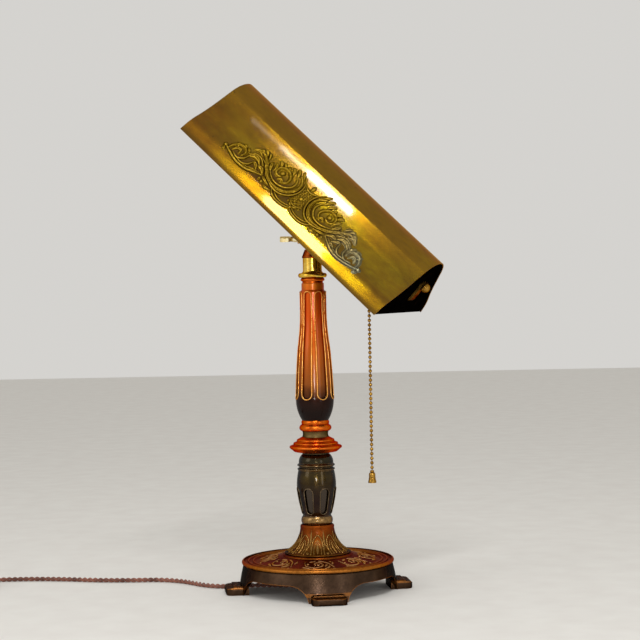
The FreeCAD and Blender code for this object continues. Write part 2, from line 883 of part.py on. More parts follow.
def make_rivets():
    under = bar_foot - flange_thick
    rivets = []
    for x in (-rivet_at, rivet_at):
        profile = [
            (0, under - 1.3),
            (rivet_head - 1.0, under - 1.3),
            ((rivet_head - 0.2, under - 0.8), (rivet_head, under)),
            (rivet_radius, under),
            (rivet_radius, bar_top),
            (rivet_head, bar_top),
            ((rivet_head - 0.2, bar_top + 0.8), (rivet_head - 1.0, bar_top + 1.3)),
            (0, bar_top + 1.3),
        ]
        rivet = turned(profile)
        rivet.translate(Vector(x, 0, 0))
        rivets.append(rivet)
    return place_shade(Part.makeCompound(rivets))


# Hollow pivot: flanged tube with a round nut, so the lead can leave along it
def turned_along_y(points):
    face = Part.Face(outline(points, lambda p: Vector(p[1], p[0], 0)))
    return face.revolve(ORIGIN, Y, 360)


def make_pivot_tube():
    outer = fork_gap + cheek_thick
    return place_shade(turned_along_y([
        (-outer - pivot_head_thick, pivot_tube_bore),
        (-outer - pivot_head_thick, pivot_head_radius - 0.8),
        (-outer - pivot_head_thick + 0.8, pivot_head_radius),
        (-outer, pivot_head_radius),
        (-outer, pivot_tube_radius),
        (outer + pivot_nut_thick + 0.8, pivot_tube_radius),
        (outer + pivot_nut_thick + 0.8, pivot_tube_bore),
    ]))


def make_pivot_nut():
    outer = fork_gap + cheek_thick
    bore = pivot_tube_radius + seat_gap
    return place_shade(turned_along_y([
        (outer, bore),
        (outer, pivot_head_radius),
        (outer + pivot_nut_thick - 0.7, pivot_head_radius),
        (outer + pivot_nut_thick, pivot_head_radius - 0.7),
        (outer + pivot_nut_thick, bore),
    ]))


# Ball-headed screws through the ears and end plates
def end_screw(side, reach):
    r, neck = screw_head_radius, screw_head_height - screw_head_radius
    screw = turned([
        (0, -reach),
        (screw_radius, -reach),
        (screw_radius, 0),
        (r - 0.8, 0),
        ((r - 0.2, 0.5), (r, neck)),
    ] + dome(r, neck))
    face = ear_face(side) + side * bar_thick
    screw.Placement = Placement(Vector(face, 0, socket_z), Rotation(Z, X * side))
    return screw


plate_inner_right = right_end - plate_inset - sheet
plate_inner_left = left_end + plate_inset + sheet
cap_back = plate_inner_right - spacer_tube_length
cap_front = cap_back - socket_cap_length
shell_front = cap_front - socket_shell_length
outlet_x = cap_front - outlet_from_cap
interior_back = cap_front + 4.0
interior_front = interior_back - interior_length
base_back = interior_front - contact_thick
interior_radius = socket_radius - socket_wall - seat_gap


def make_socket_screw():
    reach = ear_face(1) + bar_thick - (cap_back - 4.0)
    return place_shade(end_screw(1, reach))


def make_left_screw():
    return place_shade(end_screw(-1, bar_thick + sheet + 7.0))


def make_left_nut():
    nut = hexagon(9.0, 3.6, ORIGIN)
    nut = nut.cut(rod(screw_radius + seat_gap, ORIGIN, Vector(0, 0, 3.6)))
    nut.Placement = Placement(Vector(plate_inner_left, 0, socket_z), Rotation(Z, X))
    return place_shade(nut)


def make_spacer_tube():
    start = Vector(cap_back, 0, socket_z)
    end = Vector(plate_inner_right, 0, socket_z)
    return place_shade(tube(spacer_tube_radius, screw_radius + seat_gap, start, end))


# Socket cap: spun dome with a threaded boss and a side hole for the lead
def make_socket_cap():
    wall = socket_wall
    cap = turned_along_x([
        (cap_back, screw_radius + seat_gap),
        (cap_back, 8.0),
        ((cap_back - 3.2, 13.2), (cap_back - 9.0, socket_radius)),
        (cap_front, socket_radius),
        (cap_front, socket_radius - wall),
        (cap_back - 9.0, socket_radius - wall),
        ((cap_back - 3.9, 12.6), (cap_back - wall - 0.4, 7.6)),
        (cap_back - wall - 0.4, 5.0),
        (cap_back - 5.0, 5.0),
        (cap_back - 5.0, screw_radius + seat_gap),
    ], 0, socket_z)
    hole = rod(lead_radius + free_gap, Vector(lead_entry_x(), 0, socket_z),
               Vector(lead_entry_x(), 2 * socket_radius, socket_z))
    return place_shade(cap.cut(hole))


def lead_entry_x():
    return cap_back - 8.0


def make_socket_shell():
    wall = socket_wall
    shell = turned_along_x([
        (cap_front, socket_radius - wall),
        (cap_front, socket_radius),
        (cap_front - 2.5, socket_radius),
        ((cap_front - 3.4, socket_radius + 0.7), (cap_front - 4.3, socket_radius)),
        (shell_front + 3.0, socket_radius),
        ((shell_front + 1.4, socket_radius + 1.3), (shell_front, socket_radius)),
        (shell_front, socket_radius - wall),
    ], 0, socket_z)
    hole = rod(outlet_bore, Vector(outlet_x, 0, socket_z), Vector(outlet_x, -2 * socket_radius, socket_z))
    return place_shade(shell.cut(hole))


# Outlet: short turned mouth on the side of the socket, where the chain leaves
def make_outlet():
    end = -outlet_reach
    face = Part.Face(outline(
        [
            (0, outlet_bore),
            (0, outlet_radius - 0.2),
            (-socket_radius - 2.0, outlet_radius - 0.2),
            ((-socket_radius - 3.6, outlet_radius), (end, outlet_radius + 0.7)),
            (end, outlet_bore),
        ],
        lambda p: Vector(outlet_x + p[1], p[0], socket_z),
    ))
    mouth = face.revolve(Vector(outlet_x, 0, socket_z), Y, 360)
    # the mouth's root follows the round shell
    root = rod(socket_radius, Vector(shell_front, 0, socket_z), Vector(cap_front, 0, socket_z))
    return place_shade(mouth.cut(root))


# Porcelain interior with a flat chamber for the switch lever
def make_interior():
    body = turned_along_x([
        (interior_front, 0),
        (interior_front, interior_radius - 1.2),
        (interior_front + 1.2, interior_radius),
        (interior_back, interior_radius),
        (interior_back, 0),
    ], 0, socket_z)
    half = lever_thick / 2 + free_gap
    chamber = rod(lever_reach + 1.2, Vector(outlet_x - half, 0, socket_z), Vector(outlet_x + half, 0, socket_z))
    way_out = rod(outlet_bore, Vector(outlet_x, 0, socket_z), Vector(outlet_x, -2 * socket_radius, socket_z))
    return place_shade(body.cut(chamber).cut(way_out))


def make_lever():
    half = lever_thick / 2
    hub = rod(4.0, Vector(outlet_x - half, 0, socket_z), Vector(outlet_x + half, 0, socket_z))
    arm = block(outlet_x - half, outlet_x + half, -lever_reach, 0, socket_z - 1.6, socket_z + 1.6)
    tip = rod(2.2, Vector(outlet_x - half, -lever_reach + 2.2, socket_z),
              Vector(outlet_x + half, -lever_reach + 2.2, socket_z))
    return place_shade(hub.fuse([arm, tip]).removeSplitter())


def make_screw_shell():
    start = Vector(interior_front - screw_shell_length, 0, socket_z)
    end = Vector(interior_front, 0, socket_z)
    return place_shade(tube(screw_shell_radius, screw_shell_radius - screw_shell_wall, start, end))


def make_contact():
    contact = block(interior_front - contact_thick, interior_front, -4, 4, socket_z - 3, socket_z + 3)
    return place_shade(contact)


# Tubular bulb: screw base, glass and the stem inside
def make_bulb_base():
    tip = base_back
    front = tip - bulb_base_length
    return place_shade(turned_along_x([
        (tip, 0),
        (tip, 4.2),
        (tip - 2.6, 6.2),
        (tip - 3.6, bulb_base_radius - 0.8),
        (tip - 4.4, bulb_base_radius),
        (front, bulb_base_radius),
        (front, bulb_base_radius - 0.6),
        (tip - 5.0, bulb_base_radius - 0.6),
        (tip - 5.0, 0),
    ], 0, socket_z))


def make_bulb_glass():
    back = bulb_base_length - 8.0
    neck = bulb_base_radius - 0.6 - seat_gap
    tip = bulb_length - bulb_radius

    def skin(inset):
        r, n = bulb_radius - inset, neck - inset
        return [
            (n, 0),
            (n, back + 1.0),
            ((r - 0.5, back + 5.0), (r, back + 11.0)),
            (r, tip),
        ] + dome(r, tip)[:1]

    outer = skin(0.0)
    inner = reverse_path(skin(bulb_wall))
    top = math.sqrt(bulb_radius ** 2 - pole_flat ** 2) + tip
    low = math.sqrt((bulb_radius - bulb_wall) ** 2 - pole_flat ** 2) + tip
    glass = turned(outer + [(0, top), (0, low)] + inner)
    glass.Placement = Placement(Vector(base_back - 8.0, 0, socket_z), Rotation(Z, X * -1))
    return place_shade(glass)


def make_bulb_stem():
    back = base_back - 8.0
    reach = bulb_length - 30.0
    stem = turned_along_x([
        (back, 0),
        (back, bulb_base_radius - 0.6 - seat_gap - bulb_wall),
        (back - 1.2, bulb_base_radius - 0.6 - seat_gap - bulb_wall),
        ((back - 6.0, 4.0), (back - 14.0, 2.6)),
        (back - 30.0, 2.2),
        (back - 30.0, 0.9),
        (back - reach, 0.9),
        (back - reach, 0),
    ], 0, socket_z)
    return place_shade(stem)


# Chain guide: a plug that turns in the outlet, with the sleeve the chain runs in
def guide_point():
    """Where the hanging chain's line crosses the outlet's axis."""
    local = Vector(outlet_x, -outlet_reach - free_gap - guide_radius, socket_z)
    tilt = Placement(ORIGIN, Rotation(Y, shade_tilt))
    lift = Placement(Vector(0, 0, pivot_height), Rotation(Z, head_turn))
    return lift.multiply(tilt).multVec(local)


def make_chain_guide():
    top = guide_point()
    back = Rotation(Z, head_turn).multVec(Y)
    sleeve = turned([
        (0, -guide_length),
        (guide_radius + 1.0, -guide_length),
        ((guide_radius + 0.1, -guide_length + 1.8), (guide_radius, -guide_length + 4.0)),
        (guide_radius, guide_lid),
        (guide_radius - 0.4, guide_lid + 1.2),
        (1.2, guide_lid + 2.2),
        (0, guide_lid + 2.2),
    ])
    sleeve.translate(top)
    stub_end = top + back * (outlet_reach + free_gap + guide_radius - lever_reach - 2.0)
    stub = rod(outlet_bore - free_gap - 0.1, top + back * (guide_radius - 0.8), stub_end)
    bore = rod(chain_bore, top - Z * guide_length, top + Z * guide_lid)
    return sleeve.fuse(stub).cut(bore).removeSplitter()


# Ball chain: beads on a thin core, and the little bell at its end
def chain_top_z():
    return guide_point().z + 1.6


def make_chain():
    links = [(0.0, bead_neck)]
    for i in range(chain_beads):
        top = -i * bead_pitch
        links += [
            (top - 0.1 * bead_size, bead_neck),
            (top - 0.6 * bead_size, bead_size),
            (top - 1.4 * bead_size, bead_size),
            (top - 1.9 * bead_size, bead_neck),
        ]
    links.append((-chain_beads * bead_pitch, bead_neck))
    rings = []
    for z, radius in links:
        corners = [Vector(radius * math.cos(k * math.pi / 3), radius * math.sin(k * math.pi / 3), z)
                   for k in range(6)]
        rings.append(Part.makePolygon(corners + corners[:1]))
    chain = Part.makeLoft(rings, True, True)
    at = guide_point()
    chain.translate(Vector(at.x, at.y, chain_top_z()))
    return chain


def make_chain_bell():
    top = chain_top_z() - chain_beads * bead_pitch
    r, h = chain_bell_radius, chain_bell_length
    bell = turned([
        (0, 0),
        (1.5, 0),
        ((1.9, -0.9), (1.5, -1.8)),
        ((2.6, -2.6), (2.9, -4.4)),
        ((3.0, -6.6), (r, -h + 1.4)),
        (r, -h),
        (r - 1.0, -h),
        (1.9, -h + 3.4),
        (1.2, -h + 4.2),
        (0, -h + 4.2),
    ])
    at = guide_point()
    bell.translate(Vector(at.x, at.y, top))
    return bell


# Cords: straight runs joined by arcs that are as large as the runs allow
def cord_path(points, name):
    corners = [Vector(*p) for p in points]
    edges = []
    radii = []
    here = corners[0]
    for i in range(1, len(corners) - 1):
        before = corners[i] - corners[i - 1]
        after = corners[i + 1] - corners[i]
        run = min(before.Length, after.Length)
        turn = before.getAngle(after)
        radius = 0.45 * run / math.tan(turn / 2)
        radii.append(round(radius, 1))
        back = 0.45 * run
        start = corners[i] - before.normalize() * back
        end = corners[i] + after.normalize() * back
        bisect = (start + end) * 0.5 - corners[i]
        centre = corners[i] + bisect.normalize() * (radius / math.cos(turn / 2))
        via = centre - bisect * radius
        edges.append(Part.LineSegment(here, start).toShape())
        edges.append(Part.Arc(start, via, end).toShape())
        here = end
    edges.append(Part.LineSegment(here, corners[-1]).toShape())
    print(f"{name} radii {radii}")
    return Part.Wire(edges)


def cord_tube(path, radius, name):
    start = path.Edges[0].valueAt(path.Edges[0].FirstParameter)
    along = path.Edges[0].tangentAt(path.Edges[0].FirstParameter)
    across = along.cross(Z) if abs(along.z) < 0.9 else X
    across = Vector(across).normalize()
    corner = Rotation(along, 180 / cord_sides).multVec(across)
    corners = [start + Rotation(along, 360 / cord_sides * k).multVec(corner) * radius for k in range(cord_sides)]
    ring = Part.makePolygon(corners + corners[:1])
    solid = path.makePipeShell([ring], True, False)
    want = cord_sides / 2 * math.sin(2 * math.pi / cord_sides) * radius ** 2 * path.Length
    print(f"{name} length {path.Length:.1f} volume {solid.Volume:.0f} of {want:.0f}")
    return solid


# Lead inside the shade: out along the hollow pivot, back to the socket's cap
def make_socket_lead():
    entry = lead_entry_x()
    route = [
        (0, fork_gap, 0),
        (0, lead_bow - 10, 0),
        (0.15 * entry, lead_bow - 1, 0.24 * socket_z),
        (0.46 * entry, lead_bow, 0.44 * socket_z),
        (0.76 * entry, lead_bow + 0.5, 0.71 * socket_z),
        (entry, lead_bow, socket_z),
        (entry, socket_radius - lead_seat, socket_z),
    ]
    path = cord_path(route, "socket_lead")
    return place_shade(cord_tube(path, lead_radius, "socket_lead"))


# Supply cord: out of the bushing, under the base, away to the left to a coil
CORD_ROUTE = [
    (0, 0, pipe_drop - bushing_lip),
    (0, 0, 12.0),
    (-5, 3.5, 5.2),
    (-15, 8, 2.5),
    (-31, 13.5, 2.3),
    (-50, 16.5, 2.3),
    (-70, 14, 2.3),
    (-89, 12, 2.3),
    (-106, 19, 2.3),
    (-119, 33, 2.3),
    (-133, 48, 2.3),
    (-155, 57.5, 2.3),
    (-184, 57, 2.3),
    (-216, 61, 2.3),
    (-250, 71, 2.3),
    (-284, 76, 2.3),
    (-318, 74.5, 2.3),
    (-336, 74.3, 2.3),
]
coil_start = (-354.0, 74.0)
coil_centre = (coil_start[0], coil_start[1] - coil_outer, cord_radius)


def make_cord_run():
    end = coil_point(0.0)
    route = CORD_ROUTE + [tuple(end)]
    return cord_tube(cord_path(route, "cord_run"), cord_radius, "cord_run")


def coil_point(turns):
    """Centre line of the coil: spirals in on the table, out again one layer up."""
    half = coil_turns / 2
    inwards = min(turns, coil_turns - turns)
    radius = coil_outer - coil_step * inwards
    climb = min(max((turns - half + 0.25) / 0.5, 0.0), 1.0)
    rise = coil_step * climb * climb * (3 - 2 * climb)
    angle = math.pi / 2 + 2 * math.pi * turns
    return Vector(coil_centre[0] + radius * math.cos(angle),
                  coil_centre[1] + radius * math.sin(angle),
                  coil_centre[2] + rise)


def coil_heading(turns):
    step = 1e-4
    ahead = coil_point(min(turns + step, coil_turns))
    behind = coil_point(max(turns - step, 0.0))
    return (ahead - behind).normalize()


def arc_from(start, heading, end):
    """Arc that leaves start along heading and ends at end, and its last heading."""
    chord = end - start
    angle = heading.getAngle(chord)
    if angle < 1e-5:
        return Part.LineSegment(start, end).toShape(), heading
    side = heading - chord * (heading.dot(chord) / chord.dot(chord))
    via = start + chord * 0.5 + side.normalize() * (chord.Length / 2 * math.tan(angle / 2))
    along = Vector(chord).normalize()
    last = along * (2 * heading.dot(along)) - heading
    return Part.Arc(start, via, end).toShape(), last


def biarc(p1, t1, p2, t2):
    """Two arcs that share a tangent, from p1 heading t1 to p2 heading t2."""
    chord = p2 - p1
    both = t1 + t2
    spread = 2 * (1 - t1.dot(t2))
    ahead = chord.dot(both)
    if spread < 1e-9:
        reach = chord.dot(chord) / (2 * ahead)
    else:
        reach = (-ahead + math.sqrt(ahead ** 2 + spread * chord.dot(chord))) / spread
    joint = ((p1 + t1 * reach) + (p2 - t2 * reach)) * 0.5
    first, heading = arc_from(p1, t1, joint)
    second, heading = arc_from(joint, heading, p2)
    return [first, second]


def make_coil():
    steps = int(coil_turns * 4)
    edges = []
    for i in range(steps):
        a = coil_turns * i / steps
        b = coil_turns * (i + 1) / steps
        edges += biarc(coil_point(a), coil_heading(a), coil_point(b), coil_heading(b))
    path = Part.Wire(edges)
    samples = [coil_point(coil_turns * i / 680) for i in range(681)]
    gap = min(
        samples[i].distanceToPoint(samples[j])
        for i in range(0, 681, 4) for j in range(i + 40, 681, 2)
    ) - 2 * cord_radius
    print(f"coil least gap to itself {gap:.2f} mm, length {path.Length:.0f}")
    return cord_tube(path, cord_radius, "cord_coil")


def tail_route():
    start = coil_point(coil_turns)
    heading = coil_heading(coil_turns)
    first = start + heading * 10
    second = first + heading * 13 + X * 2 + Z * 1.5
    third = Vector(second.x + 4, second.y - 13, plug_radius)
    fourth = third + X * 4 - Y * 10
    return start, first, second, third, fourth


def make_cord_tail():
    route = [tuple(p) for p in tail_route()]
    return cord_tube(cord_path(route, "cord_tail"), cord_radius, "cord_tail")


# Plug: round moulded body lying on its side, and its two blades
def plug_place(shape):
    route = tail_route()
    shape.Placement = Placement(route[-1], Rotation(X, route[-1] - route[-2]))
    return shape


def make_plug():
    r, n = plug_radius, plug_length
    body = turned_along_x([
        (0, 0),
        (0, cord_radius + 1.4),
        (6, cord_radius + 2.4),
        (6.4, 5.5),
        ((9, 9.6), (14, r)),
        (n - 2.5, r),
        ((n - 0.8, r - 0.8), (n, r - 2.5)),
        (n, 0),
    ])
    return plug_place(body)


def make_blades():
    blades = []
    for y in (-6.35, 6.35):
        blade = block(plug_length, plug_length + blade_length, y - 0.75, y + 0.75, -3.2, 3.2)
        blades.append(blade)
    return plug_place(Part.makeCompound(blades))


NODES = [
    ("base_casting", make_base),
    ("base_bell", make_bell),
    ("lower_vase", make_vase),
    ("stepped_disc", make_disc),
    ("neck_spacer", make_spacer),
    ("bead_ring", make_bead_ring),
    ("fluted_column", make_column),
    ("check_ring", make_check_ring),
    ("swivel_barrel", make_barrel),
    ("barrel_cap", make_cap),
    ("thumb_key", make_thumb_key),
    ("centre_pipe", make_pipe),
    ("pipe_washer", make_washer),
    ("pipe_nut", make_nut),
    ("cord_bushing", make_bushing),
    ("riser_lead", make_riser_lead),
    ("swivel_post", make_post),
    ("friction_discs", make_friction_discs),
    ("post_lead", make_post_lead),
    ("shade_shell", make_shell),
    ("end_plate_left", lambda: make_end_plate(-1)),
    ("end_plate_right", lambda: make_end_plate(1)),
    ("carrier_bar", make_bar),
    ("tilt_fork", make_fork),
    ("bar_rivets", make_rivets),
    ("pivot_tube", make_pivot_tube),
    ("pivot_nut", make_pivot_nut),
    ("socket_screw", make_socket_screw),
    ("socket_spacer", make_spacer_tube),
    ("end_screw", make_left_screw),
    ("end_screw_nut", make_left_nut),
    ("socket_cap", make_socket_cap),
    ("socket_shell", make_socket_shell),
    ("chain_outlet", make_outlet),
    ("socket_interior", make_interior),
    ("switch_lever", make_lever),
    ("screw_shell", make_screw_shell),
    ("centre_contact", make_contact),
    ("bulb_base", make_bulb_base),
    ("bulb_glass", make_bulb_glass),
    ("bulb_stem", make_bulb_stem),
    ("socket_lead", make_socket_lead),
    ("chain_guide", make_chain_guide),
    ("pull_chain", make_chain),
    ("chain_bell", make_chain_bell),
    ("cord_run", make_cord_run),
    ("cord_coil", make_coil),
    ("cord_tail", make_cord_tail),
    ("plug_body", make_plug),
    ("plug_blades", make_blades),
]

os.makedirs("parts", exist_ok=True)
for name, make in NODES:
    save(name, make())
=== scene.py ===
"""Looks of a desk lamp: a brass trough shade on a fluted stem over a cast base.

Metres, +Z up; the viewer looks along +Y.  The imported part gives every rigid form,
and this file adds the camera, light, finishes, twisted cord, ball chain and the
chased and cast ornament that lies on the metal.
"""
import bmesh
import bpy
import json
import math
import numpy as np
from mathutils import Euler, Matrix, Vector
from mathutils.bvhtree import BVHTree
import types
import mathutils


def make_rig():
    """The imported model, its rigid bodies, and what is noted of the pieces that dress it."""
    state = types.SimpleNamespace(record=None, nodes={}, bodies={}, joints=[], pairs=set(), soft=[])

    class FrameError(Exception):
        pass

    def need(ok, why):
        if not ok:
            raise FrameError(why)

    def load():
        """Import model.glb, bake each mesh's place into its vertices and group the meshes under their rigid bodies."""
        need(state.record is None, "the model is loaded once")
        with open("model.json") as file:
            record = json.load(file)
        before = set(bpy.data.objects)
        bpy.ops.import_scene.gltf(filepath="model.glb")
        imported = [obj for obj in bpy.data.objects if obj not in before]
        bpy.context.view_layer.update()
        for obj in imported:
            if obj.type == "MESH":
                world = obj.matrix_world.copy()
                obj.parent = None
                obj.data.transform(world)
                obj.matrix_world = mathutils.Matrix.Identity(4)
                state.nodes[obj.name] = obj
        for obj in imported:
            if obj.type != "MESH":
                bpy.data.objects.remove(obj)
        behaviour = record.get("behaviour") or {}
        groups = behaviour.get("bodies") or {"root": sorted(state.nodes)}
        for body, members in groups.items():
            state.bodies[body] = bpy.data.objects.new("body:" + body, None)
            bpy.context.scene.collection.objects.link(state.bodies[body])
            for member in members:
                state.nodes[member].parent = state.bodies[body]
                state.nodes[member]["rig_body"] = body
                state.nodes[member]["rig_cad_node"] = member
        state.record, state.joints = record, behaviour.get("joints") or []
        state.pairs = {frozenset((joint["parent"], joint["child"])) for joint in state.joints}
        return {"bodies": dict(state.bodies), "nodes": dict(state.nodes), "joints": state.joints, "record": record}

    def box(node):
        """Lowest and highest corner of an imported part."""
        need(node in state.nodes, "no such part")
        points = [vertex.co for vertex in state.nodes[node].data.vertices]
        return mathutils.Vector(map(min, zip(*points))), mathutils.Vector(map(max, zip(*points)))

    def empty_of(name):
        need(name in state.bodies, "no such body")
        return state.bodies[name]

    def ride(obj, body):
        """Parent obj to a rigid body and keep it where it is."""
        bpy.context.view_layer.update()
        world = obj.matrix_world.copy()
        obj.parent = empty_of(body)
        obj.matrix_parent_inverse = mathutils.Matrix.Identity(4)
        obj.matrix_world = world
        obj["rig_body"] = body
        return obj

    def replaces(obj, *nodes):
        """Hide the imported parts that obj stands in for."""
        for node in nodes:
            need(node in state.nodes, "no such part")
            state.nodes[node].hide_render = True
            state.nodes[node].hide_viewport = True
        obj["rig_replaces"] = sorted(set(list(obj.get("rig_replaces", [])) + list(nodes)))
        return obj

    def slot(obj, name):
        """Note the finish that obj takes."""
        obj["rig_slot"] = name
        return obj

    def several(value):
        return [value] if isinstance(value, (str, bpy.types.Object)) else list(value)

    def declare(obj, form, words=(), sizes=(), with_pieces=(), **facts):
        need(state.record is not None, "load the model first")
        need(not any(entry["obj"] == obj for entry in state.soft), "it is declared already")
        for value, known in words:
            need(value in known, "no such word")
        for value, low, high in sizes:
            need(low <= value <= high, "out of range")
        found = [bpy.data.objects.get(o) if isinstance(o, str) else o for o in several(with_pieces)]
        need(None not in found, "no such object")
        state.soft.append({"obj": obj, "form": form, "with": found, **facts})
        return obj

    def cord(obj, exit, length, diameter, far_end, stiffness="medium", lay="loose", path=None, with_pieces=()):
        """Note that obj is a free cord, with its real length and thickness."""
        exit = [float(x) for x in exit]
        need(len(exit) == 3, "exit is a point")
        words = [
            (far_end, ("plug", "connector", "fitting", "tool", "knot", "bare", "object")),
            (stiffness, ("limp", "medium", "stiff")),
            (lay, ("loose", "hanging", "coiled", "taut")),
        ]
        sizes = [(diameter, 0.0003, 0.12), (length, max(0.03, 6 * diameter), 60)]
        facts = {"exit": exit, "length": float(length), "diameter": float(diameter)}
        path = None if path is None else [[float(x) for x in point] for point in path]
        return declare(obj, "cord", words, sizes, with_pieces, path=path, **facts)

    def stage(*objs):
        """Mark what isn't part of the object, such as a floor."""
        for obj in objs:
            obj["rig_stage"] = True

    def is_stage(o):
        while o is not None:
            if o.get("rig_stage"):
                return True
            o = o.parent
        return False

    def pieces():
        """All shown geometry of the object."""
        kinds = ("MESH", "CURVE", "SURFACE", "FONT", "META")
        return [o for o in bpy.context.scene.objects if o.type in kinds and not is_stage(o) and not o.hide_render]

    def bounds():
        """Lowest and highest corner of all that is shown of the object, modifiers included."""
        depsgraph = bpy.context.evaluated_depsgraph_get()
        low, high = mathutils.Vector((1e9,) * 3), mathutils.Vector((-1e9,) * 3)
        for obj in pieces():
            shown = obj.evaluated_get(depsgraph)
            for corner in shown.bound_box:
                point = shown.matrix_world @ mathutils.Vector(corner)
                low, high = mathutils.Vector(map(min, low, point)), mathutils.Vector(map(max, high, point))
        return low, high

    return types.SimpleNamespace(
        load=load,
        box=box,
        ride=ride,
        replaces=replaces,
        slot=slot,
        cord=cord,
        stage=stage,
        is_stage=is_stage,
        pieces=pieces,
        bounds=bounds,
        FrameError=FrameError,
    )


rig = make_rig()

MM = 0.001
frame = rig.load()
nodes = frame["nodes"]
cad_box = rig.bounds()

# Where the photograph was taken from
EYE = Vector((0.00627, -1.6, 0.285))
EYE_PITCH = 1.11           # degrees downwards
EYE_ROLL = 1.09            # degrees, the right side of the picture a little high
EYE_LENS = 95.74
EYE_REACH = (0.05, 50.0)
SENSOR = 36.0

# Head's pose in the frame, and the trough's section, all as in the part's source
PIVOT = Vector((0.0, 0.0, 346.0)) * MM
HEAD_POSE = Euler((0.0, math.radians(43.0), math.radians(-21.9)))
PIVOT_ABOVE_MOUTH = 5.6
PIVOT_OFF_MIDDLE = 6.9
CROWN_RADIUS = 31.0
SIDE_STRAIGHT = 18.0
FLARE_RADIUS = 126.0
LIP_RADIUS = 40.0
SIDE_ANGLE, FLARE_ANGLE, LIP_ANGLE = (math.radians(a) for a in (52.0, 40.0, 70.0))
FLUTE_COUNT = 7            # round the column and round the vase


def linked(name, data):
    """A new object in the scene."""
    made = bpy.data.objects.new(name, data)
    bpy.context.scene.collection.objects.link(made)
    return made


# Camera
def make_camera():
    data = bpy.data.cameras.new("camera")
    data.lens = EYE_LENS
    data.sensor_width = SENSOR
    data.clip_start, data.clip_end = EYE_REACH
    camera = linked("camera", data)
    tilt = Matrix.Rotation(math.radians(90.0 - EYE_PITCH), 4, "X")
    roll = Matrix.Rotation(math.radians(-EYE_ROLL), 4, "Z")
    camera.matrix_world = Matrix.Translation(EYE) @ tilt @ roll
    bpy.context.scene.camera = camera


# Mesh helpers
def mesh_object(name, vertices, faces, body):
    """A smooth mesh piece that rides on a body of the part."""
    mesh = bpy.data.meshes.new(name)
    mesh.from_pydata([tuple(v) for v in vertices], [], faces)
    mesh.validate()
    mesh.polygons.foreach_set("use_smooth", [True] * len(mesh.polygons))
    piece = linked(name, mesh)
    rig.ride(piece, body)
    return piece


def carried_frames(line):
    """Two directions across a line at each of its points, turned as little as possible."""
    tangents = np.gradient(line, axis=0)
    tangents /= np.linalg.norm(tangents, axis=1)[:, None]
    first = np.cross(tangents[0], (0.0, 0.0, 1.0))
    if np.linalg.norm(first) < 0.1:
        first = np.cross(tangents[0], (1.0, 0.0, 0.0))
    across = [first / np.linalg.norm(first)]
    for tangent in tangents[1:]:
        side = across[-1] - tangent * (across[-1] @ tangent)
        across.append(side / np.linalg.norm(side))
    across = np.array(across)
    return across, np.cross(tangents, across)


def run_along(line):
    """Distance along a line at each of its points."""
    return np.concatenate([[0.0], np.cumsum(np.linalg.norm(np.diff(line, axis=0), axis=1))])


def tubes(name, lines, radius, sides, body, closed=False):
    """Round tubes along lines of points, in one mesh, with UVs in millimetres.  The radius is one
    value, or one for each point of a single line."""
    vertices, faces, stations = [], [], []
    turn = np.arange(sides) * 2 * math.pi / sides
    for line in lines:
        line = np.asarray(line, float)
        base = len(vertices)
        if closed:
            line = np.vstack([line[-2:-1], line, line[1:2]])
            across, up = (a[1:-1] for a in carried_frames(line))
            line = line[1:-1]
        else:
            across, up = carried_frames(line)
        run = run_along(line)
        radii = np.broadcast_to(radius, len(line))
        for centre, a, b, size in zip(line, across, up, radii):
            vertices.extend(centre + size * (np.cos(turn)[:, None] * a + np.sin(turn)[:, None] * b))
        for i in range(len(line) - 1):
            for k in range(sides):
                a, b = base + i * sides + k, base + i * sides + (k + 1) % sides
                faces.append((a, b, b + sides, a + sides))
                stations.append((run[i], run[i + 1], k))
        if not closed:
            faces.append(tuple(base + k for k in range(sides))[::-1])
            faces.append(tuple(base + (len(line) - 1) * sides + k for k in range(sides)))
            stations += [None, None]
    piece = mesh_object(name, vertices, faces, body)
    around = 2 * math.pi * np.mean(radius) / sides
    layer = piece.data.uv_layers.new(name="run")
    for polygon, station in zip(piece.data.polygons, stations):
        if station is None:
            continue
        start, end, k = station
        corners = ((start, k), (start, k + 1), (end, k + 1), (end, k))
        for loop, (along, side) in zip(polygon.loop_indices, corners):
            layer.data[loop].uv = (along / MM, side * around / MM)
    return piece


def smooth_line(points, samples):
    """Points on a soft curve through the given ones, evenly divided between them."""
    p = np.asarray(points, float)
    p = np.vstack([2 * p[0] - p[1], p, 2 * p[-1] - p[-2]])
    out = []
    for i in range(1, len(p) - 2):
        for t in np.linspace(0.0, 1.0, samples, endpoint=False):
            out.append(0.5 * (2 * p[i] + (p[i + 1] - p[i - 1]) * t
                              + (2 * p[i - 1] - 5 * p[i] + 4 * p[i + 1] - p[i + 2]) * t ** 2
                              + (3 * p[i] - p[i - 1] - 3 * p[i + 1] + p[i + 2]) * t ** 3))
    out.append(p[-2])
    return np.array(out)


# Twisted cord: two cloth-covered strands laid round each other along one route
STRAND_RADIUS = 1.13
STRAND_SPREAD = 1.15       # of each strand from the cord's middle
STRAND_SIDES = 7
TWIST_LENGTH = 11.0        # of one full turn
TWIST_POINTS = 20          # of the line in each turn
CORD_ROUTE = (
    (0, 0, 18.6), (0, 0, 12.0), (-5, 3.5, 5.2), (-15, 8, 2.5), (-31, 13.5, 2.3), (-50, 16.5, 2.3),
    (-70, 14, 2.3), (-89, 12, 2.3), (-106, 19, 2.3), (-119, 33, 2.3), (-133, 48, 2.3), (-155, 57.5, 2.3),
    (-184, 57, 2.3), (-216, 61, 2.3), (-250, 71, 2.3), (-284, 76, 2.3), (-318, 74.5, 2.3), (-336, 74.3, 2.3),
)
COIL_START = (-353.85, 74.0)
COIL_OUTER = 37.5
COIL_STEP = 5.2
COIL_TURNS = 8.25
COIL_POINTS = 16           # of the route in each turn
CLIMB_TURNS = 0.5          # over which it rises to the upper layer
CORD_HEIGHT = 2.3
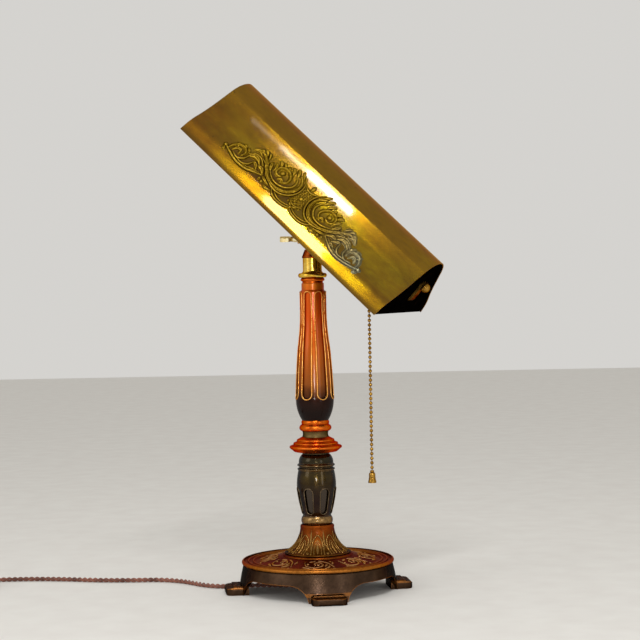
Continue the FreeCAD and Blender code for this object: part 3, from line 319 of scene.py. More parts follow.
PLUG_RADIUS = 11.5
CORD_LENGTH = 1820.0
SLEEVE_LENGTH = 20.0       # of the bend guard that grips the cord under the base
SLEEVE_TOP = 3.7
SLEEVE_END = 2.6
SLEEVE_GROOVES = 5
SLEEVE_GROOVE_DEPTH = 0.3
SLEEVE_PLAIN = 0.12        # share of it without grooves, at the bushing
SLEEVE_SIDES = 20


def coil_point(turns):
    """Point of the coil: in towards the middle on the table, out again one layer up."""
    inwards = min(turns, COIL_TURNS - turns)
    radius = COIL_OUTER - COIL_STEP * inwards
    climb = min(max((turns - COIL_TURNS / 2 + CLIMB_TURNS / 2) / CLIMB_TURNS, 0.0), 1.0)
    rise = COIL_STEP * climb * climb * (3 - 2 * climb)
    angle = math.pi / 2 + 2 * math.pi * turns
    return np.array((COIL_START[0] + radius * math.cos(angle),
                     COIL_START[1] - COIL_OUTER + radius * math.sin(angle), CORD_HEIGHT + rise))


def cord_points():
    """The whole route in millimetres, from the base's bushing to the plug."""
    steps = round(COIL_TURNS * COIL_POINTS)
    coil = [coil_point(COIL_TURNS * i / steps) for i in range(steps + 1)]
    heading = coil_point(COIL_TURNS) - coil_point(COIL_TURNS - 0.001)
    heading /= np.linalg.norm(heading)
    first = coil[-1] + heading * 10
    second = first + heading * 13 + (2.0, 0.0, 1.5)
    third = np.array((second[0] + 4, second[1] - 13, PLUG_RADIUS))
    return [*CORD_ROUTE, *coil, first, second, third, third + (4.0, -10.0, 0.0)]


def spline_line(points, name):
    """Points read from a NURBS spline that has the route's points as its control points."""
    curve = bpy.data.curves.new(name, "CURVE")
    curve.dimensions = "3D"
    curve.resolution_u = 10
    spline = curve.splines.new("NURBS")
    spline.points.add(len(points) - 1)
    for control, point in zip(spline.points, points):
        control.co = (*(c * MM for c in point), 1.0)
    spline.order_u = 3
    spline.use_endpoint_u = True
    route = linked(name, curve)
    bpy.context.view_layer.update()
    mesh = bpy.data.meshes.new_from_object(route)
    line = np.array([v.co for v in mesh.vertices])
    bpy.data.objects.remove(route)
    bpy.data.meshes.remove(mesh)
    return line


def even_line(line, step):
    """The same line with points a fixed step apart."""
    run = run_along(line)
    marks = np.linspace(0.0, run[-1], round(run[-1] / step) + 1)
    return np.stack([np.interp(marks, run, line[:, k]) for k in range(3)], 1), marks


def make_sleeve(line, marks, rubber):
    """Tapered bend guard round the cord's first centimetres, grooved so that it bends with the cord."""
    count = np.searchsorted(marks, SLEEVE_LENGTH * MM)
    t = np.linspace(0.0, 1.0, 6 * count)
    centres = np.stack([np.interp(t * marks[count - 1], marks, line[:, k]) for k in range(3)], 1)
    groove = np.clip(np.cos(2 * math.pi * SLEEVE_GROOVES * t) - 0.6, 0.0, 1.0) / 0.4 * (t > SLEEVE_PLAIN)
    radii = SLEEVE_TOP + (SLEEVE_END - SLEEVE_TOP) * t - SLEEVE_GROOVE_DEPTH * groove
    sleeve = tubes("cord_sleeve", [centres], radii * MM, SLEEVE_SIDES, "stand")
    sleeve.data.materials.append(rubber)
    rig.slot(sleeve, "plug")
    return sleeve


def make_cord(fabric, rubber):
    line, marks = even_line(spline_line(cord_points(), "cord_route"), TWIST_LENGTH / TWIST_POINTS * MM)
    across, up = carried_frames(line)
    turn = 2 * math.pi * marks / (TWIST_LENGTH * MM)
    strands = []
    for phase in (0.0, math.pi):
        swing = np.cos(turn + phase)[:, None] * across + np.sin(turn + phase)[:, None] * up
        strands.append(line + swing * STRAND_SPREAD * MM)
    cord = tubes("twisted_cord", strands, STRAND_RADIUS * MM, STRAND_SIDES, "stand")
    cord.data.materials.append(fabric)
    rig.slot(cord, "cord")
    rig.replaces(cord, "cord_run", "cord_coil", "cord_tail")
    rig.cord(cord, exit=line[0], length=CORD_LENGTH * MM, diameter=2 * CORD_HEIGHT * MM, far_end="plug",
            stiffness="limp", lay="loose", path=line,
            with_pieces=[nodes["plug_body"], nodes["plug_blades"], make_sleeve(line, marks, rubber)])


# Finishes
RIDGE_LOW = 26.4           # gilding on a casting's round ridges starts at this height
CORNER_SAMPLES = 6


def colour(value):
    """Linear RGBA of an sRGB hex code or of a grey level."""
    if not isinstance(value, str):
        return (value, value, value, 1.0)
    parts = [int(value[i:i + 2], 16) / 255 for i in (1, 3, 5)]
    return (*(c / 12.92 if c <= 0.04045 else ((c + 0.055) / 1.055) ** 2.4 for c in parts), 1.0)


def add(tree, kind, *inputs, stops=(), **named):
    """A node.  Inputs go by place, or by a name with a capital letter: each is a node, which stands for
    its first output, a socket, a hex code or a value.  Names in small letters are its settings."""
    made = tree.nodes.new("ShaderNode" + kind)
    sockets = dict(enumerate(inputs))
    for name, value in named.items():
        if name[0].isupper():
            sockets[name.replace("_", " ")] = value
        else:
            setattr(made, name, value)
    for socket, value in sockets.items():
        if isinstance(value, bpy.types.Node):
            value = value.outputs[0]
        if isinstance(value, bpy.types.NodeSocket):
            tree.links.new(value, made.inputs[socket])
        else:
            made.inputs[socket].default_value = colour(value) if isinstance(value, str) else value
    if stops:
        elements = made.color_ramp.elements
        elements[0].position, elements[0].color = stops[0][0], colour(stops[0][1])
        elements[1].position, elements[1].color = stops[-1][0], colour(stops[-1][1])
        for position, tone in stops[1:-1]:
            elements.new(position).color = colour(tone)
    return made


def new_finish(name):
    """An empty material, its node tree, and the place of a point on the piece."""
    material = bpy.data.materials.new(name)
    material.use_nodes = True
    tree = material.node_tree
    tree.nodes.clear()
    return material, tree, add(tree, "TexCoord").outputs["Object"]


def finished(material, **inputs):
    """The material, with its shader given these inputs."""
    tree = material.node_tree
    add(tree, "OutputMaterial", add(tree, "BsdfPrincipled", **inputs))
    return material


def per(size):
    """Scale of a pattern whose size is in millimetres."""
    return 1 / (size * MM)


def in_trough(tree, place):
    """Place along, across and up the trough, from its pivot."""
    return add(tree, "Mapping", place, Location=PIVOT, Rotation=HEAD_POSE, vector_type="TEXTURE")


def band(tree, value, start, stop, fade, strength):
    """A share that is full between two values and fades to nothing outside them."""
    rise = add(tree, "MapRange", value, start - fade, start, 0.0, strength)
    fall = add(tree, "MapRange", value, stop, stop + fade, 1.0, 0.0)
    return add(tree, "Math", rise, fall, operation="MULTIPLY")


def sheet_tone(tree, trough, stretched, clouds):
    """Tone of the shade's old brass: olive gold with browner clouds and blotches, with painted shade
    on the lip and along the front's shoulder, and painted light on the crown.
    """
    along, across, height = add(tree, "SeparateXYZ", trough).outputs
    tone = add(tree, "ValToRGB", clouds,
               stops=((0.34, "#785404"), (0.46, "#8e6e06"), (0.56, "#997e08"), (0.68, "#aa9612")))
    # amber at the raised end, yellower at the low end
    ends = add(tree, "ValToRGB", add(tree, "MapRange", along, -0.135, 0.12),
               stops=((0.0, "#e0b03c"), (0.22, "#b8a03e"), (0.5, "#b0a65a"), (1.0, "#ecdc58")))
    tone = add(tree, "MixRGB", 0.8, tone, ends, blend_type="MULTIPLY")
    # painted shade: the lip is darkened to a deep amber
    tone = add(tree, "MixRGB", add(tree, "MapRange", height, 0.002, -0.006), tone, "#6c4a06")
    # painted shade: a browner band along the front's shoulder, between the ornament and the crown
    shoulder = add(tree, "ValToRGB", add(tree, "MapRange", height, 0.0, 0.056),
                   stops=((0.38, 1.0), (0.53, 0.55), (0.77, 0.55), (0.88, 1.0)))
    front = add(tree, "MapRange", across, 0.0, -0.012)
    tone = add(tree, "MixRGB", front, tone, shoulder, blend_type="MULTIPLY")
    # painted light: the crown is evened towards a lighter mid amber
    crown = add(tree, "MapRange", height, 0.034, 0.046, 0.0, 0.75)
    tone = add(tree, "MixRGB", crown, tone, "#8c660a")
    # fine blotches of brown tarnish, a few millimetres across
    stains = add(tree, "TexNoise", stretched, Scale=per(7), Detail=5.0, Roughness=0.7, Distortion=0.6)
    return add(tree, "MixRGB", add(tree, "MapRange", stains, 0.45, 0.72, 0.0, 0.5), tone, "#6a4c04")


def toned_brass_sheet():
    """Rolled brass sheet, polished, lacquered and toned by age: faint lines along the trough from
    rolling, a few pits, and crisp white glints from the lacquer."""
    material, tree, place = new_finish("toned_brass_sheet")
    trough = in_trough(tree, place)
    stretched = add(tree, "Mapping", trough, Scale=(0.45, 1.0, 1.0))
    clouds = add(tree, "TexNoise", stretched, Scale=per(30), Detail=6.0, Roughness=0.62)
    tone = sheet_tone(tree, trough, stretched, clouds)
    # rolling lines are finer than a pixel, so they are drawn most of a millimetre apart
    lines = add(tree, "TexNoise", add(tree, "Mapping", trough, Scale=(0.04, 1.0, 1.0)), Scale=per(0.9))
    drawn = add(tree, "ValToRGB", lines, stops=((0.3, 0.82), (0.7, 1.0)))
    tone = add(tree, "MixRGB", 0.6, tone, drawn, blend_type="MULTIPLY")
    # pits and specks a millimetre wide, a few centimetres apart
    cells = add(tree, "TexVoronoi", trough, Scale=per(17))
    pits = add(tree, "ValToRGB", cells, stops=((0.03, 0.3), (0.055, 1.0)))
    # hand-rolled sheet is never quite flat
    dents = add(tree, "TexNoise", stretched, Scale=per(45), Detail=1.0)
    dented = add(tree, "Bump", Height=dents, Strength=0.3, Distance=3 * MM)
    return finished(
        material, Metallic=1.0, Specular_Tint="#f0c020", Coat_Weight=0.12, Coat_Roughness=0.04, Coat_IOR=2.1,
        Base_Color=add(tree, "MixRGB", 1.0, tone, pits, blend_type="MULTIPLY"),
        Roughness=add(tree, "MapRange", clouds, 0.3, 0.7, 0.13, 0.19),
        Normal=add(tree, "Bump", Height=lines, Strength=0.04, Distance=0.04 * MM, Normal=dented))


def shade_dark_plate():
    """Brass end plates given a dark brown skin that is painted shade, thin and brassy in scuffs."""
    material, tree, place = new_finish("shade_dark_plate")
    scuffs = add(tree, "TexNoise", place, Scale=per(9), Detail=7.0, Roughness=0.7)
    return finished(
        material, Metallic=1.0, Specular_Tint="#1a120a",
        # the near-black tones are painted shade
        Base_Color=add(tree, "ValToRGB", scuffs,
                       stops=((0.4, "#0a0705"), (0.62, "#150e08"), (0.78, "#4a3010"))),
        Roughness=add(tree, "MapRange", scuffs, 0.0, 1.0, 0.4, 0.7),
        Normal=add(tree, "Bump", Height=scuffs, Strength=0.15, Distance=0.3 * MM))


def chased_metal(name, tones, side, grey_reflection=None):
    """Pressed or cast ornament, darkened and wiped: tarnish in the gaps, rubbed bright on the high work.
    The tones run from the gaps over the open ground to the crests, and between two places along the
    trough the crests turn grey, a painted reflection."""
    material, tree, place = new_finish(name)
    rise = add(tree, "Attribute", attribute_name="rise").outputs["Fac"]
    grime_and_shade = add(tree, "TexNoise", place, Scale=per(3), Detail=3.0, Roughness=0.6)
    worn = add(tree, "MixRGB", 0.4, rise, grime_and_shade, blend_type="OVERLAY")
    tone = add(tree, "ValToRGB", worn, stops=list(zip((0.16, 0.36, 0.56, 0.8), tones)))
    # painted reflection: the crests turn grey between two places along the trough
    if grey_reflection:
        start, stop, bare = grey_reflection
        along = add(tree, "SeparateXYZ", in_trough(tree, place)).outputs["X"]
        reach = add(tree, "MapRange", along, start, stop)
        reach = add(tree, "Math", reach, worn, operation="MULTIPLY", use_clamp=True)
        tone = add(tree, "MixRGB", reach, tone, bare)
    # punched ground, a quarter of a millimetre deep
    punch = add(tree, "TexVoronoi", place, Scale=per(1.1))
    return finished(material, Metallic=1.0, Specular_Tint=side, Base_Color=tone,
                    Roughness=add(tree, "MapRange", rise, 0.0, 1.0, 0.45, 0.28),
                    Normal=add(tree, "Bump", Height=punch, Strength=0.3, Distance=0.25 * MM))


def rubbed_places(tree, x, y, z, gilded, ridges):
    """1 where use wears a casting bright: its edges, gilded bands (start, stop, strength) and the tops
    of round ridges (radius, half width)."""
    # edges: where the rounded normal leaves the flat one
    rounded = add(tree, "Bevel", Radius=0.9 * MM, samples=CORNER_SAMPLES)
    flat = add(tree, "NewGeometry").outputs["Normal"]
    agree = add(tree, "VectorMath", rounded, flat, operation="DOT_PRODUCT").outputs["Value"]
    worn = add(tree, "MapRange", agree, 0.99, 0.88)
    for start, stop, strength in gilded:
        gilt = band(tree, z, start * MM, stop * MM, 0.3 * MM, strength)
        worn = add(tree, "Math", worn, gilt, operation="MAXIMUM")
    flatwise = add(tree, "CombineXYZ", x, y)
    radius = add(tree, "VectorMath", flatwise, operation="LENGTH").outputs["Value"]
    raised = add(tree, "MapRange", z, (RIDGE_LOW - 0.4) * MM, RIDGE_LOW * MM)
    for ridge, half in ridges:
        crest = band(tree, radius, (ridge - half) * MM, (ridge + half) * MM, 0.3 * MM, 0.9)
        crest = add(tree, "Math", crest, raised, operation="MULTIPLY")
        worn = add(tree, "Math", worn, crest, operation="MAXIMUM")
    return worn


def scoop_share(tree, x, y, z, count, start, stop, half):
    """How far a point lies in one of some even flutes, by their half angle, between two heights."""
    behind = add(tree, "Math", y, -1.0, operation="MULTIPLY")
    angle = add(tree, "Math", x, behind, operation="ARCTAN2")
    turns = add(tree, "Math", angle, count / (2 * math.pi), float(count), operation="MULTIPLY_ADD")
    part = add(tree, "Math", turns, operation="FRACT")
    across = band(tree, part, 0.5 - half * count / 360, 0.5 + half * count / 360, 0.02, 1.0)
    along = band(tree, z, start * MM, stop * MM, 0.8 * MM, 0.75)
    return add(tree, "Math", across, along, operation="MULTIPLY")


def patinated_casting(name, levels, rubbed, share, lacquer, rough=0.42, gloss=0.24, gilded=(),
                      ridges=(), sheen_scoops=None):
    """Cast iron under bronze plating and brown lacquer, darkened by handling.  Levels give a height, the
    tone there and the deeper one where it slopes away from the eye; clouds of patina lie over them.
    Corners are darkened nearly to black as painted shade, and gold shows where the casting is rubbed.
    Scoops say where flutes get a painted silvery grey sheen: how many, low, high, half their angle,
    and the tone."""
    material, tree, place = new_finish(name)
    x, y, z = add(tree, "SeparateXYZ", place).outputs
    low, high = levels[0][0], levels[-1][0]
    climb = add(tree, "MapRange", z, low * MM, high * MM)
    tone, side = (add(tree, "ValToRGB", climb, stops=[((level[0] - low) / (high - low), level[k])
                                                      for level in levels]) for k in (1, 2))
    clouds = add(tree, "TexNoise", place, Scale=per(11), Detail=6.0, Roughness=0.65)
    depth = add(tree, "MapRange", clouds, 0.34, 0.68, 0.62, 1.25)
    tone = add(tree, "MixRGB", 1.0, tone, depth, blend_type="MULTIPLY")
    corner = add(tree, "AmbientOcclusion", Distance=5 * MM, samples=CORNER_SAMPLES).outputs["AO"]
    scuffs = add(tree, "TexNoise", place, Scale=per(2.2), Detail=4.0, Roughness=0.7)
    patchy = add(tree, "MapRange", scuffs, 0.3, 0.6, share * 0.35, share)
    worn = add(tree, "Math", rubbed_places(tree, x, y, z, gilded, ridges), corner, operation="MULTIPLY")
    worn = add(tree, "Math", worn, patchy, operation="MULTIPLY", use_clamp=True)
    tone = add(tree, "MixRGB", worn, tone, rubbed)
    # painted shade: darker where the corners are occluded
    shade = add(tree, "MapRange", corner, 0.3, 0.85, 0.45)
    tone = add(tree, "MixRGB", 1.0, tone, shade, blend_type="MULTIPLY")
    # painted sheen: a silvery grey inside the flutes
    if sheen_scoops:
        *flutes, sheen_tone = sheen_scoops
        tone = add(tree, "MixRGB", scoop_share(tree, x, y, z, *flutes), tone, sheen_tone)
    # sand skin: grains of most of a millimetre
    grain = add(tree, "TexNoise", place, Scale=per(0.7))
    sand = add(tree, "Bump", Height=grain, Strength=0.25, Distance=0.1 * MM)
    return finished(material, Metallic=1.0, Coat_Weight=lacquer, Coat_Roughness=gloss,
                    Base_Color=tone, Specular_Tint=side,
                    Roughness=add(tree, "MapRange", scuffs, 0.3, 0.7, rough - 0.08, rough + 0.12),
                    Normal=add(tree, "Bump", Height=clouds, Strength=0.2, Distance=0.8 * MM, Normal=sand))


def column_bronze(low, high):
    """Lacquered copper-bronze plating on the cast column: glowing orange at the top, browner downwards
    and nearly black at the foot, with painted shade where the flutes are occluded and a pale glint
    from the lacquer."""
    material, tree, place = new_finish("column_bronze")
    clouds = add(tree, "TexNoise", place, Scale=per(9), Detail=5.0, Roughness=0.6)
    height = add(tree, "MapRange", add(tree, "SeparateXYZ", place).outputs["Z"], low, high)
    shift = add(tree, "Math", clouds, 0.12, -0.06, operation="MULTIPLY_ADD")
    level = add(tree, "Math", height, shift, operation="ADD")
    tone = add(tree, "ValToRGB", level, stops=(
        (0.06, "#180c08"), (0.16, "#260f06"), (0.27, "#8a4a18"), (0.45, "#ac5410"), (0.75, "#cc4e08"),
        (0.93, "#d0560c"), (1.0, "#d8781e")))
    # painted shade: darker where the flutes are occluded
    corner = add(tree, "AmbientOcclusion", Distance=3 * MM, samples=CORNER_SAMPLES).outputs["AO"]
    grime_and_shade = add(tree, "ValToRGB", corner, stops=((0.3, "#d89c84"), (0.75, 1.0)))
    grain = add(tree, "TexNoise", place, Scale=per(0.8))
    return finished(
        material, Metallic=0.85, Specular_Tint="#9c3c0a", Coat_Weight=0.25, Coat_Roughness=0.12,
        Base_Color=add(tree, "MixRGB", 0.9, tone, grime_and_shade, blend_type="MULTIPLY"),
        Roughness=add(tree, "MapRange", clouds, 0.3, 0.7, 0.36, 0.48),
        Normal=add(tree, "Bump", Height=grain, Strength=0.18, Distance=0.1 * MM))


def turned_metal(name, tone_a, tone_b, rough, grime_and_shade, side="#8a5c1c"):
    """Turned and polished metal: fine rings round the axis, soft clouds of tarnish, painted shade in the
    occluded grooves, and a deeper side tone where it slopes away from the eye."""
    material, tree, place = new_finish(name)
    clouds = add(tree, "TexNoise", place, Scale=per(6), Detail=4.0, Roughness=0.6)
    tone = add(tree, "ValToRGB", clouds, stops=((0.38, tone_a), (0.62, tone_b)))
    corner = add(tree, "AmbientOcclusion", Distance=2 * MM, samples=CORNER_SAMPLES).outputs["AO"]
    # painted shade: darker in the occluded grooves
    groove_shade = add(tree, "ValToRGB", corner, stops=((0.4, grime_and_shade), (0.85, 1.0)))
    flat = add(tree, "Mapping", place, Scale=(0.02, 0.02, 1.0))
    rings = add(tree, "TexNoise", flat, Scale=per(0.35), Detail=1.0)
    return finished(
        material, Metallic=1.0, Specular_Tint=side,
        Base_Color=add(tree, "MixRGB", 0.85, tone, groove_shade, blend_type="MULTIPLY"),
        Roughness=add(tree, "MapRange", clouds, 0.3, 0.7, rough - 0.05, rough + 0.1),
        Normal=add(tree, "Bump", Height=rings, Strength=0.06, Distance=0.04 * MM))


def cloth_covered_flex():
    """Braided cotton over rubber: reddish brown threads, dull, with a faint sheen and darker soiled patches."""
    material, tree, place = new_finish("cloth_covered_flex")
    run = add(tree, "TexCoord").outputs["UV"]
    # braid: threads of half a millimetre that cross at about 45 degrees along the strand
    crossed = []
    for slant in (42, -42):
        turned = add(tree, "Mapping", run, Rotation=(0.0, 0.0, math.radians(slant)))
        wave = add(tree, "TexWave", turned, Scale=0.55, Distortion=0.6, Detail=1.0)
        crossed.append(wave.outputs["Fac"])
    threads = add(tree, "Math", *crossed, operation="MAXIMUM")
    tone = add(tree, "ValToRGB", threads, stops=((0.2, "#4a1c12"), (0.75, "#8a4a38"), (1.0, "#a8705a")))
    soil = add(tree, "TexNoise", place, Scale=per(14), Detail=4.0)
    soiled = add(tree, "ValToRGB", soil, stops=((0.35, "#a08a7c"), (0.6, 1.0)))
    return finished(
        material, Metallic=0.0, Sheen_Weight=0.25, Roughness=0.85,
        Base_Color=add(tree, "MixRGB", 0.8, tone, soiled, blend_type="MULTIPLY"),
        Normal=add(tree, "Bump", Height=threads, Strength=0.6, Distance=0.15 * MM))


def varnished_cotton():
    """Cotton sleeve of the inner wires: black brown from its varnish, tan where the threads stand up."""
    material, tree, place = new_finish("varnished_cotton")
    threads = add(tree, "TexVoronoi", place, Scale=per(0.7))
    return finished(
        material, IOR=1.48, Roughness=0.6,
        Base_Color=add(tree, "ValToRGB", threads, stops=((0.1, "#5a4028"), (0.7, "#22160c"))),
        Normal=add(tree, "Bump", Height=threads, Strength=0.5, Distance=0.1 * MM))


def moulded_rubber():
    """Old moulded rubber: brown black, nearly matt, with a pale bloom in patches."""
    material, tree, place = new_finish("moulded_rubber")
    bloom = add(tree, "TexNoise", place, Scale=per(5), Detail=5.0, Roughness=0.65)
    return finished(
        material, IOR=1.52,
        Base_Color=add(tree, "ValToRGB", bloom, stops=((0.4, "#1c1613"), (0.7, "#3c332d"))),
        Roughness=add(tree, "MapRange", bloom, 0.0, 1.0, 0.5, 0.75),
        Normal=add(tree, "Bump", Height=bloom, Strength=0.1, Distance=0.2 * MM))


def moulded_bakelite():
    """Dark brown moulded phenolic: glossy, faintly mottled."""
    material, tree, place = new_finish("moulded_bakelite")
    mottle = add(tree, "TexNoise", place, Scale=per(4), Detail=5.0, Distortion=1.0)
    return finished(
        material, IOR=1.6,
        Base_Color=add(tree, "ValToRGB", mottle, stops=((0.35, "#241610"), (0.65, "#4a2c1c"))),
        Roughness=add(tree, "MapRange", mottle, 0.0, 1.0, 0.2, 0.42),
        Normal=add(tree, "Bump", Height=mottle, Strength=0.1, Distance=0.2 * MM))


def glazed_porcelain():
    """White glazed porcelain with a few iron specks."""
    material, tree, place = new_finish("glazed_porcelain")
    specks = add(tree, "TexVoronoi", place, Scale=per(2.5))
    wave = add(tree, "TexNoise", place, Scale=per(5))
    return finished(
        material, IOR=1.5, Roughness=0.12,
        Base_Color=add(tree, "ValToRGB", specks, stops=((0.05, "#8f8473"), (0.1, "#ebe6d8"))),
        Normal=add(tree, "Bump", Height=wave, Strength=0.1, Distance=0.3 * MM))


def blown_glass():
    """Clear blown soda glass with very faint waves."""
    material, tree, place = new_finish("blown_glass")
    wave = add(tree, "TexNoise", place, Scale=per(16))
    return finished(
        material, Base_Color="#f6f6f0", IOR=1.52, Roughness=0.02, Transmission_Weight=1.0,
        Normal=add(tree, "Bump", Height=wave, Strength=0.08, Distance=0.5 * MM))


def red_fibre():
    """Pressed vulcanised fibre: matt brick red with short pale hairs."""
    material, tree, place = new_finish("red_fibre")
    hairs = add(tree, "TexNoise", place, Scale=per(0.8), Detail=4.0, Distortion=2.0)
    return finished(
        material, Roughness=0.7,
        Base_Color=add(tree, "ValToRGB", hairs, stops=((0.4, "#7c2c1c"), (0.7, "#a8523c"))),
        Normal=add(tree, "Bump", Height=hairs, Strength=0.2, Distance=0.05 * MM))


# Ball chain: hollow beads with a wire link between them
BEAD_RADIUS = 1.6
BEAD_PITCH = 4.2
BEAD_SEGMENTS, BEAD_RINGS = 14, 10
LINK_RADIUS = 0.42
LINK_LENGTH = BEAD_PITCH - 1.6 * BEAD_RADIUS               # it reaches into both beads
LINK_SIDES = 7


def make_ball_chain(brass):
    low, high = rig.box("pull_chain")
    axis = (low + high) / 2
    count = round((high.z - low.z) / (BEAD_PITCH * MM))
    mesh = bmesh.new()
    for i in range(count):
        centre = Vector((axis.x, axis.y, high.z - (i * BEAD_PITCH + BEAD_RADIUS) * MM))
        bmesh.ops.create_uvsphere(mesh, u_segments=BEAD_SEGMENTS, v_segments=BEAD_RINGS,
                                  radius=BEAD_RADIUS * MM, matrix=Matrix.Translation(centre))
        link = centre - Vector((0, 0, BEAD_PITCH / 2 * MM))
        bmesh.ops.create_cone(mesh, cap_ends=True, segments=LINK_SIDES, radius1=LINK_RADIUS * MM,
                              radius2=LINK_RADIUS * MM, depth=LINK_LENGTH * MM,
                              matrix=Matrix.Translation(link))
    data = bpy.data.meshes.new("ball_chain")
    mesh.to_mesh(data)
    mesh.free()
    data.polygons.foreach_set("use_smooth", [True] * len(data.polygons))
    data.materials.append(brass)
    chain = linked("ball_chain", data)
    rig.ride(chain, "pull_chain")
    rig.slot(chain, "brass")
    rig.replaces(chain, "pull_chain")


# Relief: strokes raised from a surface, as a fine grid that follows them
STROKE_POINTS = 14         # between two given points of a stroke
VEIN_RADIUS = 0.55
RELIEF_FLOOR = 0.02        # lower work than this isn't drawn
RELIEF_SKIRT = 0.15        # how far the work's edge is sunk into the metal under it
CREST_BLUR = 9             # cells over which the work is levelled, to find its crests and gaps
CREST_GAIN = 1.7


def press(field, us, vs, u, v, radius, height):
    """A round dab on the grid, the larger of it and what is there."""
    i0, i1 = np.searchsorted(us, (u - radius, u + radius))
    j0, j1 = np.searchsorted(vs, (v - radius, v + radius))
    if i0 < i1 and j0 < j1:
        far = (us[i0:i1, None] - u) ** 2 + (vs[None, j0:j1] - v) ** 2
        dab = height * np.clip(1 - far / radius ** 2, 0.0, 1.0) ** 0.5
        field[i0:i1, j0:j1] = np.maximum(field[i0:i1, j0:j1], dab)


def swelling(kind, t):
    """Share of a stroke's full width along it: stems taper at both ends, leaves swell in the middle."""
    if kind == "stem":
        return np.minimum(1.0, 0.45 + 2.2 * np.minimum(t, 1 - t))
    if kind == "leaf":
        return np.clip(np.sin(math.pi * np.clip(t, 0.02, 0.98) ** 0.8), 0.12, 1.0)
    return np.ones(len(t))


def stroke_field(strokes, us, vs, veined=0.0):
    """Height in millimetres over a grid, where rounded strokes lie on it.  Leaves have a vein
    and broad stems two reeds, cut to the veined depth."""
    field = np.zeros((len(us), len(vs)))
    cuts = np.zeros(field.shape)
    for kind, width, rise, points in strokes:
        line = smooth_line(points, STROKE_POINTS) if len(points) > 1 else np.asarray(points, float)
        t = np.linspace(0.0, 1.0, len(line)) if len(line) > 1 else np.array([0.5])
        swell = swelling(kind, t)
        for (u, v), share in zip(line, swell):
            press(field, us, vs, u, v, width * share, rise * (0.55 + 0.45 * share))
        if veined and kind in ("stem", "leaf") and width >= 1.2:
            along = np.gradient(line, axis=0)
            across = np.stack([-along[:, 1], along[:, 0]], 1) / np.linalg.norm(along, axis=1)[:, None]
            for offset in ((-0.4, 0.4) if kind == "stem" else (0.0,)):
                cut = line + across * (offset * width * swell)[:, None]
                for (u, v), share in list(zip(cut, swell))[2:-3]:
                    press(cuts, us, vs, u, v, VEIN_RADIUS, veined * share)
    return np.maximum(field - cuts, np.minimum(field, 0.2))


def spread(field, cells):
    """Largest value within a few cells, for the ground round the strokes."""
    wide = field.copy()
    for _ in range(cells):
        grown = wide.copy()
        grown[1:] = np.maximum(grown[1:], wide[:-1])
        grown[:-1] = np.maximum(grown[:-1], wide[1:])
        grown[:, 1:] = np.maximum(grown[:, 1:], wide[:, :-1])
        grown[:, :-1] = np.maximum(grown[:, :-1], wide[:, 1:])
        wide = grown
    return wide


def softened(field, passes):
    """The field blurred by a cell for each pass."""
    for _ in range(passes):
        for axis in (0, 1):
            field = (np.roll(field, 1, axis) + 2 * field + np.roll(field, -1, axis)) / 4
    return field


def make_relief(name, field, place, highest, body, slot, metal, closed=False):
    """A raised grid piece: place(i, j, lift) gives a point of the surface lifted along its normal.
    Its attribute "rise" is 0 in the narrow gaps, a half on open ground and 1 on the crests."""
    present = field > RELIEF_FLOOR
    crest = np.clip(0.5 + CREST_GAIN * (field - softened(field, CREST_BLUR)) / highest, 0.0, 1.0)
    rows, columns = field.shape
    index = -np.ones(field.shape, int)
    vertices, rises, faces = [], [], []
    for i in range(rows if closed else rows - 1):
        for j in range(columns - 1):
            corners = ((i, j), ((i + 1) % rows, j), ((i + 1) % rows, j + 1), (i, j + 1))
            if not any(present[c] for c in corners):
                continue
            for c in corners:
                if index[c] < 0:
                    index[c] = len(vertices)
                    lift = field[c] if present[c] else -RELIEF_SKIRT
                    vertices.append(place(c[0], c[1], lift * MM))
                    rises.append(crest[c])
            faces.append(tuple(index[c] for c in corners))
    piece = mesh_object(name, vertices, faces, body)
    layer = piece.data.attributes.new("rise", "FLOAT", "POINT")
    layer.data.foreach_set("value", np.array(rises, np.float32))
    piece.data.materials.append(metal)
    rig.slot(piece, slot)


